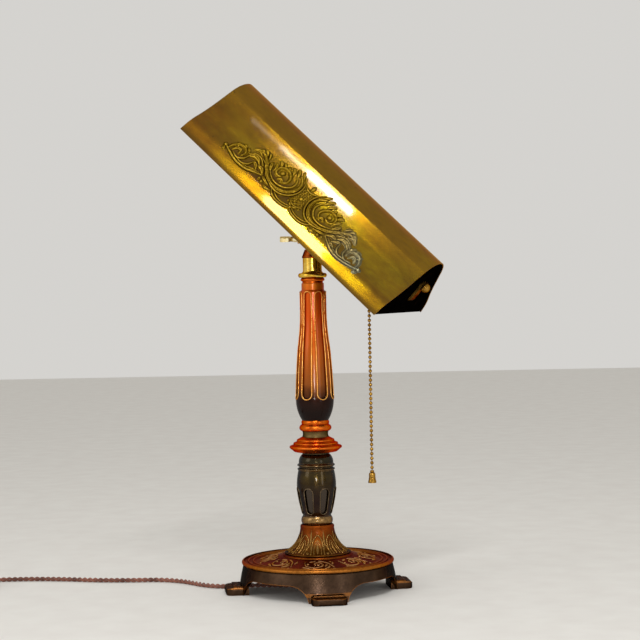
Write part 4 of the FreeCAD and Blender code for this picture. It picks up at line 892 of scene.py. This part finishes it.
# Chased ornament on the front of the shade: kind, half width, rise and points of each stroke, in
# millimetres along the trough and up from the lip
SCROLL_STROKES = (
    # long C-scroll with its inner bead
    ("stem", 1.9, 1.5, ((-64, 39), (-57, 41.5), (-51, 38), (-45, 32.5), (-38, 26.5), (-29, 23), (-20, 24),
                        (-13.5, 29), (-10, 37), (-11, 45), (-16.5, 50.5))),
    ("stem", 0.9, 1.25, ((-54, 36.5), (-48, 34), (-42, 29), (-35, 24.6), (-27, 20.6), (-18, 20.8),
                         (-10.5, 26.5), (-6.6, 36), (-7.8, 46), (-13, 53))),
    ("stem", 0.9, 1.1, ((-44, 36), (-38, 30.5), (-30, 27), (-22, 28), (-16.6, 32.5), (-14.5, 38), (-16, 44),
                        (-20, 48.5))),
    # inner curl that ends in an eye
    ("stem", 1.3, 1.35, ((-26, 30.5), (-21.5, 35), (-22.2, 41), (-27, 45.2), (-33, 45.4), (-37, 42),
                         (-37, 37.4), (-33.6, 34.6), (-29.8, 35.6))),
    ("dot", 2.3, 1.5, ((-31, 39.8),)),
    ("leaf", 1.5, 1.2, ((-24, 31), (-27, 33.5), (-30, 32))),
    # leaves that break from the scroll's back
    ("leaf", 1.8, 1.4, ((-45.5, 41), (-43.5, 36.5), (-40, 31.5))),
    ("leaf", 1.4, 1.2, ((-42, 43.5), (-39.5, 40), (-38.5, 35.5))),
    ("leaf", 1.4, 1.2, ((-41.5, 48), (-38.5, 46), (-36.5, 43))),
    ("leaf", 1.2, 1.1, ((-37.5, 49.3), (-34.8, 47.6), (-33, 45))),
    ("leaf", 1.2, 1.1, ((-31.5, 49.4), (-30, 47.8), (-29, 45.4))),
    ("leaf", 1.6, 1.35, ((-28, 51.8), (-25.2, 49.6), (-23, 44.5))),
    ("leaf", 1.5, 1.3, ((-23.5, 54.6), (-20.5, 51), (-18, 45))),
    ("leaf", 1.2, 1.1, ((-18.5, 56), (-15.8, 53), (-12.5, 48.5))),
    # upper curl of the outer leaf
    ("leaf", 1.5, 1.25, ((-66.5, 37.5), (-62, 40.5), (-57, 38))),
    ("leaf", 1.3, 1.15, ((-63.5, 42.4), (-59.5, 42.8), (-55.5, 40))),
    ("leaf", 1.2, 1.15, ((-59, 45.6), (-56, 44.4), (-53, 41.2))),
    ("leaf", 1.1, 1.05, ((-53.8, 46.4), (-51.6, 43.8), (-49.4, 39.4))),
    # broad rounded leaf and the ribs below it
    ("leaf", 2.6, 1.45, ((-65.5, 28), (-61.5, 32), (-56, 32.2), (-51, 28.5))),
    ("stem", 0.8, 1.0, ((-66.5, 30.5), (-62, 35), (-55.5, 35.4), (-49, 31.5))),
    ("leaf", 1.7, 1.2, ((-57.5, 27.5), (-53.5, 26.2), (-49.5, 22.2))),
    ("leaf", 2.0, 1.35, ((-51.5, 27.4), (-46.5, 27.2), (-41.5, 22.8))),
    ("stem", 1.0, 1.2, ((-77, 19.5), (-71, 17.8), (-66.2, 21.5), (-64.6, 28.5))),
    ("stem", 1.0, 1.2, ((-70, 17.4), (-63.5, 17), (-59, 20.5), (-57.4, 26.4))),
    ("leaf", 1.4, 1.25, ((-63, 16.8), (-57, 17), (-52.4, 20.6))),
    ("leaf", 1.5, 1.3, ((-56.8, 18.4), (-51.5, 20), (-46, 22.6))),
    # shell lobes at the outer end
    ("stem", 1.5, 1.3, ((-83.5, 20.5), (-82.6, 26), (-79, 30.8), (-73.6, 32), (-69.2, 28.6), (-69.4, 23.4))),
    ("leaf", 1.5, 1.25, ((-79.5, 22), (-77.6, 26.2), (-74, 26.6), (-72.6, 22.4))),
    ("leaf", 1.2, 1.1, ((-76.8, 34.4), (-73.6, 33.4), (-72.4, 30))),
    ("leaf", 1.2, 1.1, ((-71.2, 34.6), (-68.6, 32), (-67.4, 27.6))),
    ("leaf", 1.1, 1.0, ((-80.6, 32.4), (-79.4, 29), (-77.4, 26.4))),
    # lower edge of the leaf and its tip
    ("stem", 1.15, 1.45, ((-87, 20), (-81, 17.8), (-73, 15.4), (-65, 14.3), (-57, 15.2), (-49.5, 18.4),
                          (-42.5, 22.4))),
    ("dot", 1.9, 1.4, ((-87.2, 20.2),)),
    ("leaf", 1.2, 1.1, ((-87, 18.4), (-86, 15.8), (-84.6, 14.6))),
    # drop beside the leaf, and the thin edge of the field under the scroll
    ("leaf", 1.5, 1.4, ((-40.5, 22.6), (-36, 20.6), (-30, 19.4))),
    ("dot", 1.5, 1.3, ((-37, 17.4),)),
    ("dot", 1.1, 1.1, ((-41, 18.6),)),
    ("leaf", 1.2, 1.2, ((-33, 16.4), (-29.5, 15.4), (-25.4, 16.8))),
    ("stem", 0.75, 1.15, ((-25.5, 19.6), (-21, 15.6), (-14, 13.8), (-6, 14.6), (0, 17.2))),
    ("stem", 0.6, 0.95, ((-22, 19.8), (-17.5, 17.2), (-11.5, 16.2), (-5, 17.4), (0, 20))),
    ("leaf", 1.1, 1.1, ((-4.6, 22.6), (-2.2, 20.6), (0, 20.2))),
)
MIDDLE_STROKES = (
    ("dot", 2.2, 1.35, ((0.0, 33.5),)),
    ("dot", 1.5, 1.2, ((0.0, 18.6),)),
    ("stem", 0.8, 1.1, ((-7.4, 47.6), (-3.8, 45.2), (0, 44.4), (3.8, 45.2), (7.4, 47.6))),
    ("stem", 0.8, 1.0, ((-7.2, 26), (-4, 23.4), (0, 22.4), (4, 23.4), (7.2, 26))),
    ("leaf", 1.4, 1.2, ((0, 52.6), (0, 49.6), (0, 45.6))),
)
DIAPER_PITCH = 4.4         # of the lattice in the middle panel
DIAPER_LOW, DIAPER_HIGH = 23.0, 46.0
DIAPER_MIDDLE = 34.0
DIAPER_HALF = 6.4          # half its width at the middle
DIAPER_FLARE = 0.012
ORNAMENT_STEP = 0.34       # grid of the raised work
ORNAMENT_HALF = 90.0
ORNAMENT_LOW, ORNAMENT_HIGH = 12.0, 58.0
ORNAMENT_RISE = 1.5
ORNAMENT_GROUND = 0.16     # rise of the ground close round the strokes
ORNAMENT_GROUND_CELLS = 3  # its width
ORNAMENT_UNEVEN = 0.5
ORNAMENT_UNEVEN_BLUR = 6   # cells
ORNAMENT_WORK = 0.3        # what rises above this is worked by hand
ORNAMENT_VEIN = 0.5        # depth of the veins
ORNAMENT_SEED = 5


def mirrored(strokes):
    return [(kind, width, rise, tuple((-u, v) for u, v in points)) for kind, width, rise, points in strokes]


def diaper_strokes():
    """Lattice of fine ribs with a bead in each mesh, between the two scrolls."""
    strokes = []
    for k in range(-9, 10):
        for slant in (-1, 1):
            points = []
            for v in np.linspace(DIAPER_LOW, DIAPER_HIGH, 24):
                u = k * DIAPER_PITCH + slant * (v - DIAPER_MIDDLE)
                edge = DIAPER_HALF + DIAPER_FLARE * (v - DIAPER_MIDDLE) ** 2
                if abs(u) < edge:
                    points.append((u, v))
            if len(points) > 2:
                strokes.append(("band", 0.42, 0.75, (points[0], points[-1])))
    for row in range(-3, 4):
        for k in range(-2, 3):
            u = (k + 0.5 * (row % 2)) * DIAPER_PITCH
            v = DIAPER_MIDDLE + row * DIAPER_PITCH / 2 + DIAPER_PITCH / 2
            if abs(u) < 6.0:
                strokes.append(("dot", 0.75, 0.8, ((u, v),)))
    return strokes


def shade_profile():
    """The trough's front side from the lip upwards: run, distance in front, height above the mouth."""
    height = (CROWN_RADIUS * (1 - math.cos(SIDE_ANGLE)) + SIDE_STRAIGHT * math.sin(SIDE_ANGLE)
              + FLARE_RADIUS * (math.cos(FLARE_ANGLE) - math.cos(SIDE_ANGLE))
              + LIP_RADIUS * (math.cos(FLARE_ANGLE) - math.cos(LIP_ANGLE)))
    line = [(0.0, height)]

    def bend(radius, slope_a, slope_b):
        x0, z0 = line[-1]
        sign = 1 if slope_b > slope_a else -1
        for a in np.linspace(slope_a, slope_b, 30)[1:]:
            line.append((x0 + sign * radius * (math.sin(a) - math.sin(slope_a)),
                         z0 + sign * radius * (math.cos(a) - math.cos(slope_a))))

    bend(CROWN_RADIUS, 0.0, SIDE_ANGLE)
    x0, z0 = line[-1]
    line.append((x0 + SIDE_STRAIGHT * math.cos(SIDE_ANGLE), z0 - SIDE_STRAIGHT * math.sin(SIDE_ANGLE)))
    bend(FLARE_RADIUS, SIDE_ANGLE, FLARE_ANGLE)
    bend(LIP_RADIUS, FLARE_ANGLE, LIP_ANGLE)
    line = np.array(line)[::-1]
    return run_along(line), line[:, 0], line[:, 1]


def make_shade_ornament(metal):
    us = np.arange(-ORNAMENT_HALF, ORNAMENT_HALF + ORNAMENT_STEP, ORNAMENT_STEP)
    vs = np.arange(ORNAMENT_LOW, ORNAMENT_HIGH, ORNAMENT_STEP)
    strokes = [*SCROLL_STROKES, *mirrored(SCROLL_STROKES), *MIDDLE_STROKES, *diaper_strokes()]
    field = stroke_field(strokes, us, vs, ORNAMENT_VEIN)
    ground = spread(np.where(field > ORNAMENT_WORK, 1.0, 0.0), ORNAMENT_GROUND_CELLS)
    field = np.maximum(field, ORNAMENT_GROUND * ground)
    # hand chasing is never quite even
    uneven = softened(np.random.default_rng(ORNAMENT_SEED).standard_normal(field.shape), ORNAMENT_UNEVEN_BLUR)
    field += ORNAMENT_UNEVEN * uneven * (field > ORNAMENT_WORK)
    run, front, up = shade_profile()
    y, z = np.interp(vs, run, front), np.interp(vs, run, up)
    slope_y, slope_z = np.gradient(y), np.gradient(z)
    size = np.hypot(slope_y, slope_z)
    out_y, out_z = slope_z / size, -slope_y / size
    turn = HEAD_POSE.to_matrix()

    def place(i, j, lift):
        local = Vector(((us[i] - PIVOT_OFF_MIDDLE) * MM, -(y[j] * MM + out_y[j] * lift),
                        (z[j] - PIVOT_ABOVE_MOUTH) * MM + out_z[j] * lift))
        return turn @ local + PIVOT

    make_relief("shade_ornament", field, place, ORNAMENT_RISE, "shade", "shade_brass", metal)


# Surfaces of turned pieces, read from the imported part
def surface_of(name):
    data = nodes[name].data
    return BVHTree.FromPolygons([v.co for v in data.vertices], [p.vertices for p in data.polygons])


def radius_at(tree, height):
    """Outer radius of a turned piece at a height."""
    hit = tree.ray_cast(Vector((0.0, -0.3, height)), Vector((0.0, 1.0, 0.0)))[0]
    return -hit.y if hit else 0.0


# Bright rims of the flutes on the column and the vase
FLUTE_SIDE_POINTS = 26     # of a rim's line along each side
FLUTE_END_POINTS = 13      # and round each end
RIM_SIDES = 6


def flute_outline(low, low_half, high, high_half):
    """Outline of a flute with round ends, seen flat: points x, z in millimetres."""
    side = [(low_half + (high_half - low_half) * t,
             low + low_half + (high - high_half - low - low_half) * t)
            for t in np.linspace(0.0, 1.0, FLUTE_SIDE_POINTS)]
    over = [(high_half * math.cos(a), high - high_half + high_half * math.sin(a))
            for a in np.linspace(math.pi, 0.0, FLUTE_END_POINTS)[1:-1]]
    under = [(low_half * math.cos(a), low + low_half + low_half * math.sin(a))
             for a in np.linspace(0.0, -math.pi, FLUTE_END_POINTS)[1:]]
    return [*((-x, z) for x, z in side), *over, *side[::-1], *under]


def flute_rims(name, node, ends, radii, width_angle, rim, metal, slot_name):
    """Fine raised beads along the outlines of a turned piece's flutes, which end at two heights above
    the piece's foot and are as wide as an angle of its radius at each end."""
    tree = surface_of(node)
    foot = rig.box(node)[0].z / MM
    half = math.sin(math.radians(width_angle / 2))
    outline = flute_outline(foot + ends[0], radii[0] * half + rim, foot + ends[1], radii[1] * half + rim)
    lines = []
    for i in range(FLUTE_COUNT):
        turn = Matrix.Rotation(2 * math.pi * (i + 0.5) / FLUTE_COUNT, 3, "Z")
        inwards = turn @ Vector((0.0, 1.0, 0.0))
        hits = [tree.ray_cast(turn @ Vector((x * MM, -0.1, z * MM)), inwards)[0] for x, z in outline]
        lines.append([hit for hit in hits if hit is not None])
    piece = tubes(name, lines, rim * MM, RIM_SIDES, "stand", closed=True)
    piece.data.materials.append(metal)
    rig.slot(piece, slot_name)


# Cast tongues round the bell, drawn flat: millimetres round it at its middle, and millimetres up
BELL_TONGUES = 9
BELL_SIDES = 540
BELL_MIDDLE_RADIUS = 20.0
BELL_RISE = 0.7
BELL_START, BELL_STOP = 1.9, 0.6       # plain margins at the bell's foot and neck
RELIEF_STEP = 0.4                      # grid of the cast work, up or outwards


def tongue_strokes(u, low, pitch):
    """One tongue and the leaf between it and the next."""
    gap = u + pitch / 2
    strokes = [
        ("band", 0.55, 0.6, ((u - 4.6, low + 2.4), (u - 4.8, low + 9), (u - 4.0, low + 14.5), (u, low + 18.2),
                             (u + 4.0, low + 14.5), (u + 4.8, low + 9), (u + 4.6, low + 2.4))),
        ("band", 0.4, 0.45, ((u - 2.6, low + 2.8), (u - 2.8, low + 8), (u, low + 13.6), (u + 2.8, low + 8),
                             (u + 2.6, low + 2.8))),
        ("leaf", 1.1, 0.7, ((u, low + 2.6), (u, low + 7.5), (u, low + 12.0))),
        ("leaf", 1.2, 0.6, ((gap, low + 8), (gap, low + 15), (gap, low + 23))),
    ]
    for side in (-1, 1):
        strokes.append(("leaf", 0.8, 0.5, ((gap + side * 1.6, low + 5), (gap + side * 1.2, low + 9),
                                           (gap, low + 12))))
    return [*strokes, ("dot", 1.0, 0.6, ((gap, low + 3.2),))]


def make_bell_relief(metal):
    tree = surface_of("base_bell")
    low, high = (corner.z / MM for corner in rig.box("base_bell"))
    angles = np.linspace(-180.0, 180.0, BELL_SIDES + 1)[:-1]
    heights = np.arange(low + BELL_START, high - BELL_STOP, RELIEF_STEP)
    round_mm = math.pi * 2 * BELL_MIDDLE_RADIUS
    pitch = round_mm / BELL_TONGUES
    strokes = []
    for k in range(-BELL_TONGUES, BELL_TONGUES + 1):
        strokes += tongue_strokes(k * pitch, low, pitch)
    field = stroke_field(strokes, angles / 360.0 * round_mm, heights)
    radii = np.array([radius_at(tree, h * MM) for h in heights])
    slope = np.gradient(radii, heights * MM)
    size = np.hypot(slope, 1.0)

    def place(i, j, lift):
        angle = math.radians(angles[i])
        radius = radii[j] + lift / size[j]
        return Vector((radius * math.sin(angle), -radius * math.cos(angle),
                       heights[j] * MM - slope[j] * lift / size[j]))

    make_relief("bell_tongues", field, place, BELL_RISE, "stand", "cast", metal, closed=True)


# Leaf work on the base's field: millimetres round its middle and out from the axis
FIELD_MOTIFS = 8
FIELD_SIDES = 900
FIELD_RISE = 0.8
FIELD_INNER, FIELD_OUTER = 35.0, 57.5
FIELD_MOTIF = (
    ("stem", 1.1, 0.8, ((-13.5, 40), (-10, 49.5), (-3.5, 53), (3, 50), (4.4, 44.6), (0.8, 41), (-3.2, 43.2),
                        (-2.2, 46.8))),
    ("stem", 1.0, 0.75, ((13.5, 52), (10, 43), (4.8, 39), (0.8, 37.6))),
    ("leaf", 1.6, 0.75, ((-8.6, 40.4), (-5.8, 39), (-2.4, 37.8))),
    ("leaf", 1.5, 0.75, ((-12.5, 52.6), (-9.2, 53.6), (-5, 55.4))),
    ("leaf", 1.6, 0.75, ((5.6, 54.6), (9, 51.6), (10.4, 46.6))),
    ("leaf", 1.4, 0.7, ((6.4, 49.8), (7.8, 46.8), (7, 43))),
    ("leaf", 1.3, 0.7, ((13.8, 46), (14.6, 42), (12.4, 38))),
    ("dot", 1.4, 0.8, ((0.4, 46.4),)),
    ("dot", 1.2, 0.7, ((-9.4, 45),)),
    ("dot", 1.1, 0.7, ((12.8, 55.6),)),
)


def make_field_relief(metal):
    tree = surface_of("base_casting")
    angles = np.linspace(-180.0, 180.0, FIELD_SIDES + 1)[:-1]
    radii = np.arange(FIELD_INNER, FIELD_OUTER, RELIEF_STEP)
    round_mm = math.pi * 2 * (FIELD_INNER + FIELD_OUTER) / 2
    pitch = round_mm / FIELD_MOTIFS
    strokes = [(kind, width, rise, tuple((u + k * pitch, v) for u, v in points))
               for k in range(-FIELD_MOTIFS // 2 - 1, FIELD_MOTIFS // 2 + 2)
               for kind, width, rise, points in FIELD_MOTIF]
    field = stroke_field(strokes, angles / 360.0 * round_mm, radii)
    down = Vector((0.0, 0.0, -1.0))
    levels = [tree.ray_cast(Vector((r * MM, 0.0, 0.2)), down)[0].z for r in radii]

    def place(i, j, lift):
        angle = math.radians(angles[i])
        r = radii[j] * MM
        return Vector((r * math.sin(angle), -r * math.cos(angle), levels[j] + lift))

    make_relief("base_leafwork", field, place, FIELD_RISE, "stand", "cast", metal, closed=True)


# Floor, light and air
FLOOR_REACH = 4.0
SHADE_MIDDLE = (0.0, -0.06, 0.35)
LAMP_MIDDLE = (0.0, 0.0, 0.2)
TROUGH_LAMPS = (           # name, place, width along the trough and height, power
    # the softbox shows in the lip, and the strips in the shoulder above the ornament
    ("softbox", (0.012, -0.934, 1.308), (0.135, 0.58), 6.8),
    ("strip", (0.2325, -0.7019, 1.4123), (0.10, 0.0095), 0.45),
    ("strip_middle", (0.1713, -0.6651, 1.4477), (0.06, 0.004), 0.05),
    ("strip_tail", (0.1252, -0.6375, 1.4743), (0.07, 0.0025), 0.01),
)
ROOM_LAMPS = (
    ("front", (0.0, -1.8, 0.3), (0.07, 0.09), 1.45),
    ("fill", (1.0, -1.4, 0.45), (0.3, 0.9), 0.93),
    ("side", (-1.5, -0.9, 0.9), (0.8, 1.1), 2.52),
)
ROOM_SPREAD = 120.0        # degrees, which keeps these off the floor beneath them
AIR_LEVEL = 0.76


def make_stage():
    material, tree, place = new_finish("pale_floor")
    fleck = add(tree, "TexNoise", place, Scale=30.0, Detail=3.0)
    finished(material, Roughness=0.9,
             Base_Color=add(tree, "ValToRGB", fleck, stops=((0.3, "#dcd9d4"), (0.7, "#e1dfda"))))
    mesh = bpy.data.meshes.new("floor")
    corners = ((-1, -1), (1, -1), (1, 1), (-1, 1))
    mesh.from_pydata([(x * FLOOR_REACH, y * FLOOR_REACH, 0) for x, y in corners], [], [(0, 1, 2, 3)])
    mesh.materials.append(material)
    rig.stage(linked("floor", mesh))


def make_lamp(name, place, size, power, target, along=None, spread=180.0):
    """Area lamp; along is the direction of its width, for a lamp that lies with the trough."""
    data = bpy.data.lights.new(name, "AREA")
    data.spread = math.radians(spread)
    data.shape = "RECTANGLE"
    data.size, data.size_y = size
    data.energy = power
    lamp = linked(name, data)
    lamp.location = place
    aim = (Vector(target) - Vector(place)).normalized()
    lamp.rotation_euler = aim.to_track_quat("-Z", "Y").to_euler()
    if along is not None:
        across = (along - aim * along.dot(aim)).normalized()
        lamp.rotation_euler = Matrix((across, across.cross(aim), -aim)).transposed().to_euler()


def make_light():
    trough = HEAD_POSE.to_matrix() @ Vector((1.0, 0.0, 0.0))
    for lamp in TROUGH_LAMPS:
        make_lamp(*lamp, SHADE_MIDDLE, along=trough)
    for lamp in ROOM_LAMPS:
        make_lamp(*lamp, LAMP_MIDDLE, spread=ROOM_SPREAD)
    world = bpy.data.worlds.new("studio")
    world.use_nodes = True
    air = world.node_tree
    air.nodes.clear()
    add(air, "OutputWorld", add(air, "Background", Color="#f0eeea", Strength=AIR_LEVEL))
    bpy.context.scene.world = world
    bpy.context.scene.view_settings.view_transform = "Standard"


# Which node has which finish; the castings' levels are heights in millimetres with their two tones
BASE_LEVELS = ((0.0, "#432e1e", "#241408"), (10.0, "#483528", "#140a04"), (26.9, "#463426", "#120a04"),
               (27.3, "#74440e", "#b4741e"), (34.0, "#70360a", "#a05c1c"))
BASE_GILDED = ((5.8, 8.6, 0.5),)
BASE_RIDGES = ((71.7, 1.9), (65.2, 0.35), (60.6, 0.35))    # the rim and the two raised rings
BELL_LEVELS = ((30.0, "#60390a", "#2a1204"), (40.0, "#643c0c", "#200e04"), (52.0, "#763a0a", "#341404"),
               (66.0, "#8e3c06", "#562204"))
VASE_LEVELS = ((62.0, "#4a3012", "#2a1608"), (84.0, "#220b04", "#140602"), (96.0, "#30200a", "#180c04"),
               (108.0, "#3c2e0c", "#1c1004"), (116.0, "#2a1e0c", "#181006"), (122.0, "#2e2610", "#181408"),
               (134.0, "#362f14", "#181408"))
VASE_GILDED = ((62.0, 69.6, 0.9), (113.2, 114.6, 0.4), (117.2, 118.6, 0.4))
# painted sheen inside the vase's flutes: how many, low, high, half their angle, and the tone
VASE_SHEEN = (FLUTE_COUNT, 74.0, 96.5, 10.0, "#4a4036")
TURNED_METALS = (          # name, two tones, roughness, painted groove shade, and a side tone other than the usual
    ("polished_copper_plate", "#c85a16", "#dc6e20", 0.28, "#a8623c", "#b04a14"),
    ("darkened_copper", "#7a3410", "#9c4818", 0.3, "#5a2c14", "#5a2008"),
    ("turned_brass", "#dcac38", "#f8d468", 0.22, "#8a5a1c", "#b06c18"),
    # the key's pale cream tones are a painted highlight on its brass
    ("highlit_key_brass", "#f4dc9c", "#fff4c8", 0.34, "#b08a4c", "#f0dca8"),
    ("small_brass", "#8a6426", "#b58a3c", 0.28, "#4a3210"),
    ("dull_steel", "#57482a", "#6e5a38", 0.4, "#2c241a", "#3c3020"),
    ("rubbed_gilt", "#ec9a3c", "#ffc068", 0.28, "#c88a3c"),
    ("rubbed_vase_edge", "#5c4c38", "#86745a", 0.32, "#5a4a38", "#5a4838"),
)


def dress(finish, *members):
    """Each node of the part gets its own metal, glass or cloth."""
    for node in members:
        materials = nodes[node].data.materials
        materials.clear()
        materials.append(finish)


def dress_castings():
    dress(patinated_casting("base_bronze", BASE_LEVELS, "#b4702c", 0.95, 0.05, rough=0.34,
                            gilded=BASE_GILDED, ridges=BASE_RIDGES), "base_casting")
    dress(patinated_casting("bell_bronze", BELL_LEVELS, "#b07830", 0.6, 0.08), "base_bell")
    dress(patinated_casting("vase_bronze", VASE_LEVELS, "#a07c48", 0.95, 0.35, rough=0.24, gloss=0.1,
                            gilded=VASE_GILDED, sheen_scoops=VASE_SHEEN), "lower_vase")
    dress(column_bronze(*(corner.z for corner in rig.box("fluted_column"))), "fluted_column")


def dress_turned(metals):
    dress(metals["polished_copper_plate"], "stepped_disc", "bead_ring", "check_ring")
    dress(metals["darkened_copper"], "barrel_cap")
    dress(metals["dull_steel"], "neck_spacer", "centre_pipe", "pipe_washer", "pipe_nut", "switch_lever")
    dress(metals["turned_brass"], "swivel_barrel")
    dress(metals["highlit_key_brass"], "thumb_key")
    dress(metals["small_brass"], "swivel_post", "carrier_bar", "tilt_fork", "bar_rivets", "pivot_tube",
          "pivot_nut", "socket_screw", "socket_spacer", "end_screw", "end_screw_nut", "socket_cap",
          "socket_shell", "chain_outlet", "screw_shell", "centre_contact", "bulb_base", "chain_guide",
          "chain_bell", "plug_blades")


def dress_others():
    dress(toned_brass_sheet(), "shade_shell")
    dress(shade_dark_plate(), "end_plate_left", "end_plate_right")
    dress(glazed_porcelain(), "socket_interior")
    dress(blown_glass(), "bulb_glass", "bulb_stem")
    dress(red_fibre(), "friction_discs")
    dress(varnished_cotton(), "riser_lead", "post_lead", "socket_lead")
    dress(moulded_bakelite(), "cord_bushing", "plug_body")


def make_ornament(metals):
    # the grey on the crests towards one end is a painted reflection
    make_shade_ornament(chased_metal("chased_brass", ("#160d02", "#402e06", "#70560a", "#a28228"), "#6a4c10",
                                     grey_reflection=(0.03, 0.085, "#7c8474")))
    flute_rims("column_flute_rims", "fluted_column", (20.0, 121.0), (17.7, 12.1), 30.0, 0.55,
               metals["rubbed_gilt"], "bronze")
    flute_rims("vase_flute_rims", "lower_vase", (10.4, 35.0), (14.2, 18.5), 26.0, 0.42,
               metals["rubbed_vase_edge"], "cast")
    make_bell_relief(chased_metal("bell_chasing", ("#241004", "#48280a", "#5c380e", "#94703c"), "#2a1606"))
    make_field_relief(chased_metal("field_chasing", ("#3c1c08", "#7a400e", "#7e4a1a", "#c09468"), "#a87440"))


make_camera()
make_cord(cloth_covered_flex(), moulded_rubber())
turned = {metal[0]: turned_metal(*metal) for metal in TURNED_METALS}
dress_castings()
dress_turned(turned)
dress_others()
make_ball_chain(turned["small_brass"])
make_ornament(turned)
make_stage()
make_light()

with open("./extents.json", "w") as out:
    json.dump({"cad": [list(c) for c in cad_box], "scene": [list(c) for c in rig.bounds()]}, out)
